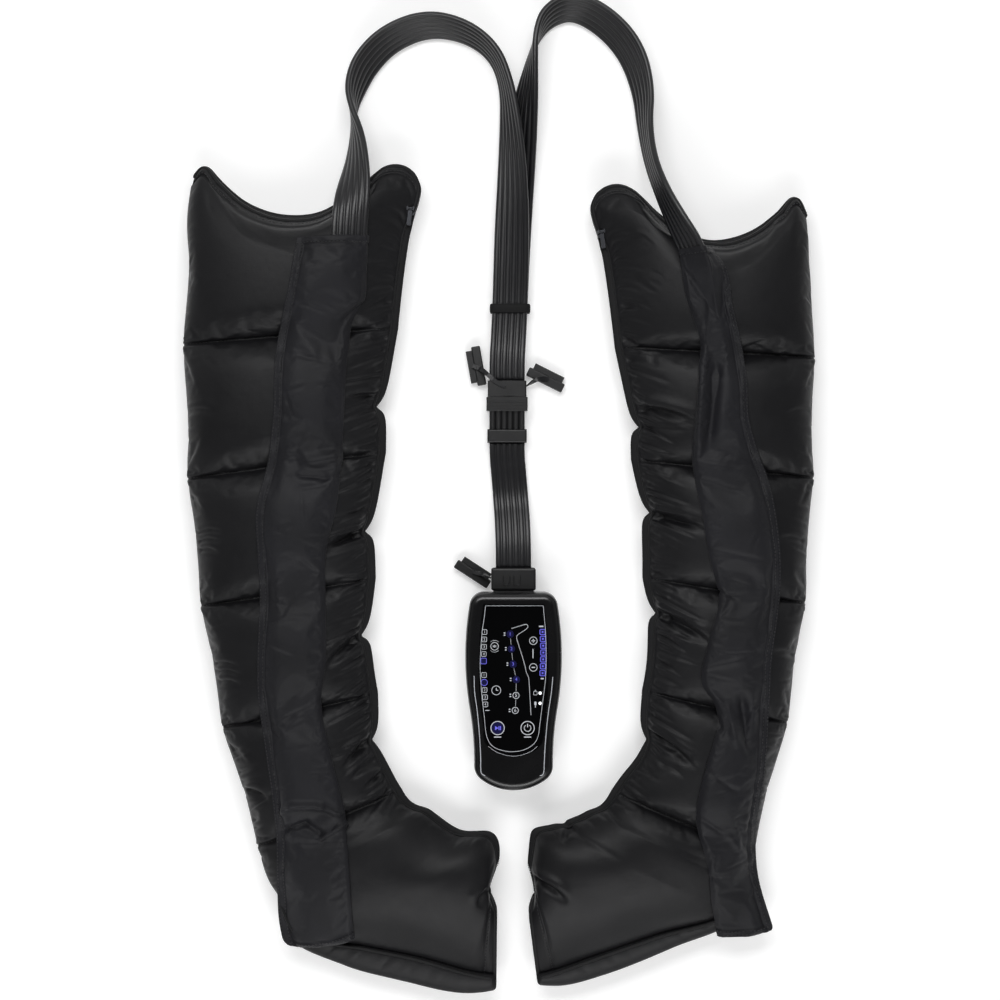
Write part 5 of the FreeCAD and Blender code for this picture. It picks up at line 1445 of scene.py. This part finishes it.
def build_panel_marks():
    case_tree = surface_tree(nodes["pump_upper_case"])
    silver = [line_mark(rounded_path(PANEL_BORDER, steps=6), BORDER_LINE, closed=True)]
    # Silver wires on the case on both sides of the panel: painted highlights along the edges of its raised
    # middle
    silver += [line_mark(rounded_path(edge_highlight, tree=case_tree), EDGE_HIGHLIGHT_LINE) for edge_highlight in SIDE_EDGE_HIGHLIGHTS]
    # A painted highlight along the panel's lower edge
    silver.append(line_mark(rounded_path(PANEL_EDGE_HIGHLIGHT), PANEL_EDGE_HIGHLIGHT_LINE))

    # The leg beside the chamber keys, the thin lines from key to key, and two bars beside each key
    silver.append(line_mark(rounded_path(LEG_SIGN, steps=5), LEG_LINE))
    for upper_key, lower_key in zip(CHAMBER_KEYS, CHAMBER_KEYS[1:]):
        start, end = np.array(on_key(upper_key)), np.array(on_key(lower_key))
        clear = unit(end - start) * KEY_CLEAR
        silver.append(line_mark([(*point, PANEL_LEVEL) for point in (start + clear, end - clear)], THIN_LINE))
    for key in CHAMBER_KEYS:
        silver += [bar_mark(on_key(key, -6.6, along), 2.0, 1.3) for along in (-1.3, 1.3)]

    # Two columns of small boxes on the left, and bars
    for column in FIGURE_BOXES:
        for count, pixel in enumerate(column, start=1):
            silver.append(frame_mark(on_panel(*pixel), 6.2 * MM))
            silver.append(figure_mark(str(count), on_panel(*pixel), BOX_FIGURE))
    silver += [bar_mark(on_panel(px, py), wide, high) for px, py, wide, high in PANEL_BARS]
    silver.append(frame_mark(on_panel(*LAMP_FRAME), 4.6 * MM, 0.5 * MM))
    silver += [bar_mark(on_key(key, 0, -10.6), 8.5, 1.2) for key in LARGE_KEYS]

    # Arcs above and below the mode key
    for turn in (math.pi / 2, -math.pi / 2):
        silver.append(arc_mark(on_key("mode_button"), 6.9 * MM, turn - 0.75, turn + 0.75, 13, THIN_LINE))

    # Lamps: two lit boxes on the left, a scale of tiles on the right and two white dots
    blue = [tile_mark(on_panel(*LIT_BOX)), disc_mark(on_panel(*LIT_ROUND), 3.4 * MM)]
    violet = [frame_mark(on_panel(*LIT_BOX), 7.2 * MM)]
    violet.append(ring_mark(on_panel(*LIT_ROUND), 4.0 * MM, FRAME_WIDTH))
    for k in range(SCALE_TILES):
        bow = SCALE_BOW * math.sin(math.pi * k / (SCALE_TILES - 1))
        place = on_panel(SCALE_START[0] + bow, SCALE_START[1] + SCALE_STEP * k)
        violet.append(frame_mark(place, 7.0 * MM, 0.8 * MM))
        violet.append(disc_mark(place, 1.1 * MM, PANEL_LEVEL + 0.7 * INK))
        blue.append(tile_mark(place))
    white = [disc_mark(on_panel(*pixel), 1.9 * MM) for pixel in WHITE_LAMPS]
    # The print and the painted edge highlights, joined in one piece
    keep_marks("panel_print_and_painted_highlights", silver, SILVER_INK_AND_PAINTED_HIGHLIGHTS)
    keep_marks("panel_blue_lamps", blue, BLUE_LAMP)
    keep_marks("panel_scale_lamps", violet, VIOLET_LAMP)
    keep_marks("panel_white_lamps", white, WHITE_LAMP)


def key_sign(key):
    """The ring, bars and figure on a key. A lit key has no ring."""
    place = on_key(key)
    marks = []
    if key not in LIT_KEYS:
        width = LARGE_RING_WIDTH if key in LARGE_KEYS else RING_WIDTH
        marks.append(ring_mark(place, KEY_RINGS[key][2] * MM, width, KEY_LEVEL))
    if key == "power_button":
        start = math.pi / 2 + 0.55
        marks.append(arc_mark(place, 3.9 * MM, start, start + 2 * math.pi - 1.1, 25, POWER_LINE, KEY_LEVEL))
    for across, along, wide, high in KEY_BARS.get(key, ()):
        marks.append(bar_mark(on_key(key, across, along), wide, high, KEY_LEVEL))
    if key in CHAMBER_KEYS:
        marks.append(figure_mark(key[-1], place, KEY_FIGURE, KEY_LEVEL + INK))
    return marks


def build_key_marks():
    """The ring and sign on each key, and the lamps under some, which move with it."""
    start_sign = [arrow_mark(on_key("start_button", -1.7), 2.8 * MM, KEY_LEVEL + INK)]
    for across, along, wide, high in START_BARS:
        start_sign.append(bar_mark(on_key("start_button", across, along), wide, high, KEY_LEVEL + INK))
    keep_marks("start_button_sign", start_sign, VIOLET_LAMP, body="start_button")
    for key in KEY_RINGS:
        finish = VIOLET_LAMP if key in LIT_KEYS else SILVER_INK_AND_PAINTED_HIGHLIGHTS
        keep_marks(f"{key}_print", key_sign(key), finish, body=key)
    for key, radius in KEY_LAMPS.items():
        lamp = disc_mark(on_key(key), radius * MM, KEY_LEVEL)
        keep_marks(f"{key}_lamp", [lamp], BLUE_LAMP, body=key)


# The band round the hoses, and grips on the fittings

# How far inside its box the band runs, the squareness of its loop, and its section across and outwards in mm
BAND_CORE = 1.2 * MM
BAND_SQUARE = 0.3
BAND_SECTION = ((-5.2, -0.9), (-5.4, 0.1), (-4.4, 0.9), (-1.6, 1.25), (1.6, 1.25), (4.4, 0.9), (5.4, 0.1),
                (5.2, -0.9))
# Raised bars on the sockets: their place in pixels, then width, height and rise in mm
SOCKET_BARS = (*[(507, 401.5 + 3.0 * k, 44, 1.4, 0.7) for k in range(4)], (508.5, 394.5, 14, 3.2, 1.2),
               (508.5, 389.5, 3.6, 9, 1.2))
# The grips on the pump's plug: their middles, and the shape of each from its middle, in pixels
GRIP_MIDDLES = (506.5, 517)
GRIP_SHAPE = ((-3.2, 576), (-3.4, 581), (-2.2, 584.4), (0, 585.4), (2.2, 584.4), (3.4, 581), (3.2, 576))


def build_band():
    """The elastic band round both hoses: a flat loop, thickest along its middle."""
    low, high = np.array(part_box("hose_band"))
    middle = (low + high) / 2
    reach = (high - low) / 2 - BAND_CORE
    turn = np.linspace(0, 2 * np.pi, 72, endpoint=False)
    round_loop = np.column_stack([np.cos(turn), np.sin(turn)])
    loop = np.sign(round_loop) * np.abs(round_loop) ** BAND_SQUARE * reach[[0, 2]]
    ahead = unit(np.roll(loop, -1, axis=0) - np.roll(loop, 1, axis=0))
    outwards = np.column_stack([ahead[:, 1], -ahead[:, 0]])
    sections = []
    for y, lift in BAND_SECTION:
        ring = loop + outwards * lift * MM
        sections.append(np.column_stack([ring[:, 0], np.full(len(ring), y * MM), ring[:, 1]]) + middle)
    points = np.stack(sections, axis=1)
    rows, columns = points.shape[:2]
    faces = [tuple(k % (rows * columns) for k in face) for face in grid_faces(rows + 1, columns, ring=True)]
    piece = outward(new_piece("hose_band_loop", points.reshape(-1, 3), faces, "elastic"))
    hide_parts("hose_band")


def build_fitting_grips():
    """Ribs and latches on the sockets, and the two grips on the plug in the pump."""
    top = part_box("splitter_sockets")[1][2]
    bars = []
    for px, py, wide, high, rise in SOCKET_BARS:
        bars.append(bar_mark(seen_at(px, py, top), wide, high, top, rise * MM))
    keep_marks("socket_grips", bars, FINISHES["fitting_plastic"], body=ROOT)
    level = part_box("pump_hose_plug")[1][2]
    loops = []
    for middle in GRIP_MIDDLES:
        shape = [(middle + px, py) for px, py in GRIP_SHAPE]
        loops.append(line_mark(rounded_path(shape, level=level, steps=4), 0.7 * MM))
    keep_marks("plug_grips", loops, FINISHES["fitting_plastic"], body=ROOT)


build_panel_marks()
build_key_marks()
build_band()
build_fitting_grips()


# Stage: a pale floor, white walls, two soft lamps and a camera straight above

FLOOR_SIZE = 12
FLOOR_GLOW = 0.33
# How bright the walls are: low down and overhead, between which heights, and at the sides and ends
WALLS_LOW, WALLS_OVERHEAD = 1.0, 0.06
WALLS_FADE = (0.3, 0.92)
SIDE_WALLS = 0.35
END_WALLS = 0.8
# Lamps: place and size in metres, and power in watts
LAMPS = {"softbox_head": ((-0.2, 1.3, 2.2), (2.0, 0.9), 38),
         "softbox_foot": ((0.1, -1.6, 1.6), (2.0, 0.8), 25)}
LAMP_AIM = Vector((0, 0.05, 0))


def build_floor():
    """A white floor that glows a little in what the camera sees, so that it stays white."""
    bpy.ops.mesh.primitive_plane_add(size=FLOOR_SIZE, location=(0, 0, 0))
    floor = bpy.context.object
    floor.name = "floor"
    finish, tree = new_material("white_floor")
    rays = add(tree, "LightPath").outputs
    seen = rays["Is Camera Ray"]
    for other in ("Is Glossy Ray", "Is Transmission Ray"):
        seen = add(tree, "Math", {0: seen, 1: rays[other]}, operation="MAXIMUM").outputs[0]
    glow = add(tree, "Math", {0: seen, 1: FLOOR_GLOW}, operation="MULTIPLY").outputs[0]
    add(tree, "Principled BSDF", {"Base Color": srgb("#e6e6e6"), "Roughness": 0.9, "Specular IOR Level": 0.0,
                                  "Emission Color": srgb("#ffffff"), "Emission Strength": glow})
    dress(floor, finish)


def build_walls():
    """White walls under a dark ceiling, and plain white for the camera."""
    world = bpy.data.worlds.new("studio")
    bpy.context.scene.world = world
    world.use_nodes = True
    tree = world.node_tree
    way = add(tree, "SeparateXYZ", {0: add(tree, "TexCoord").outputs["Generated"]})
    walls = add(tree, "MapRange", {"Value": way.outputs["Z"], "From Min": WALLS_FADE[0],
                                   "From Max": WALLS_FADE[1], "To Min": WALLS_LOW,
                                   "To Max": WALLS_OVERHEAD}).outputs[0]
    ends = add(tree, "Math", {0: way.outputs["Y"]}, operation="ABSOLUTE").outputs[0]
    ends = add(tree, "MapRange", {"Value": ends, "To Min": SIDE_WALLS, "To Max": END_WALLS}).outputs[0]
    walls = add(tree, "Math", {0: walls, 1: ends}, operation="MULTIPLY").outputs[0]
    camera_ray = add(tree, "LightPath").outputs["Is Camera Ray"]
    level = add(tree, "Math", {0: walls, 1: camera_ray}, operation="MAXIMUM").outputs[0]
    add(tree, "Background", {"Color": srgb("#ffffff"), "Strength": level})


def build_lamps():
    for name, (place, size, power) in LAMPS.items():
        light = bpy.data.lights.new(name, "AREA")
        light.shape = "RECTANGLE"
        light.size, light.size_y = size
        light.energy = power
        carrier = bpy.data.objects.new(name, light)
        bpy.context.scene.collection.objects.link(carrier)
        carrier.location = place
        carrier.rotation_euler = (LAMP_AIM - carrier.location).to_track_quat("-Z", "Y").to_euler()


def build_camera():
    view = bpy.data.cameras.new("camera")
    view.sensor_fit = "HORIZONTAL"
    view.angle = 2 * math.atan(VIEW_WIDTH / 2 / VIEW_HEIGHT)
    camera = bpy.data.objects.new("camera", view)
    scene = bpy.context.scene
    scene.collection.objects.link(camera)
    camera.location = (*VIEW_MIDDLE, VIEW_HEIGHT)
    scene.camera = camera
    scene.view_settings.view_transform = "Standard"


build_floor()
build_walls()
build_lamps()
build_camera()
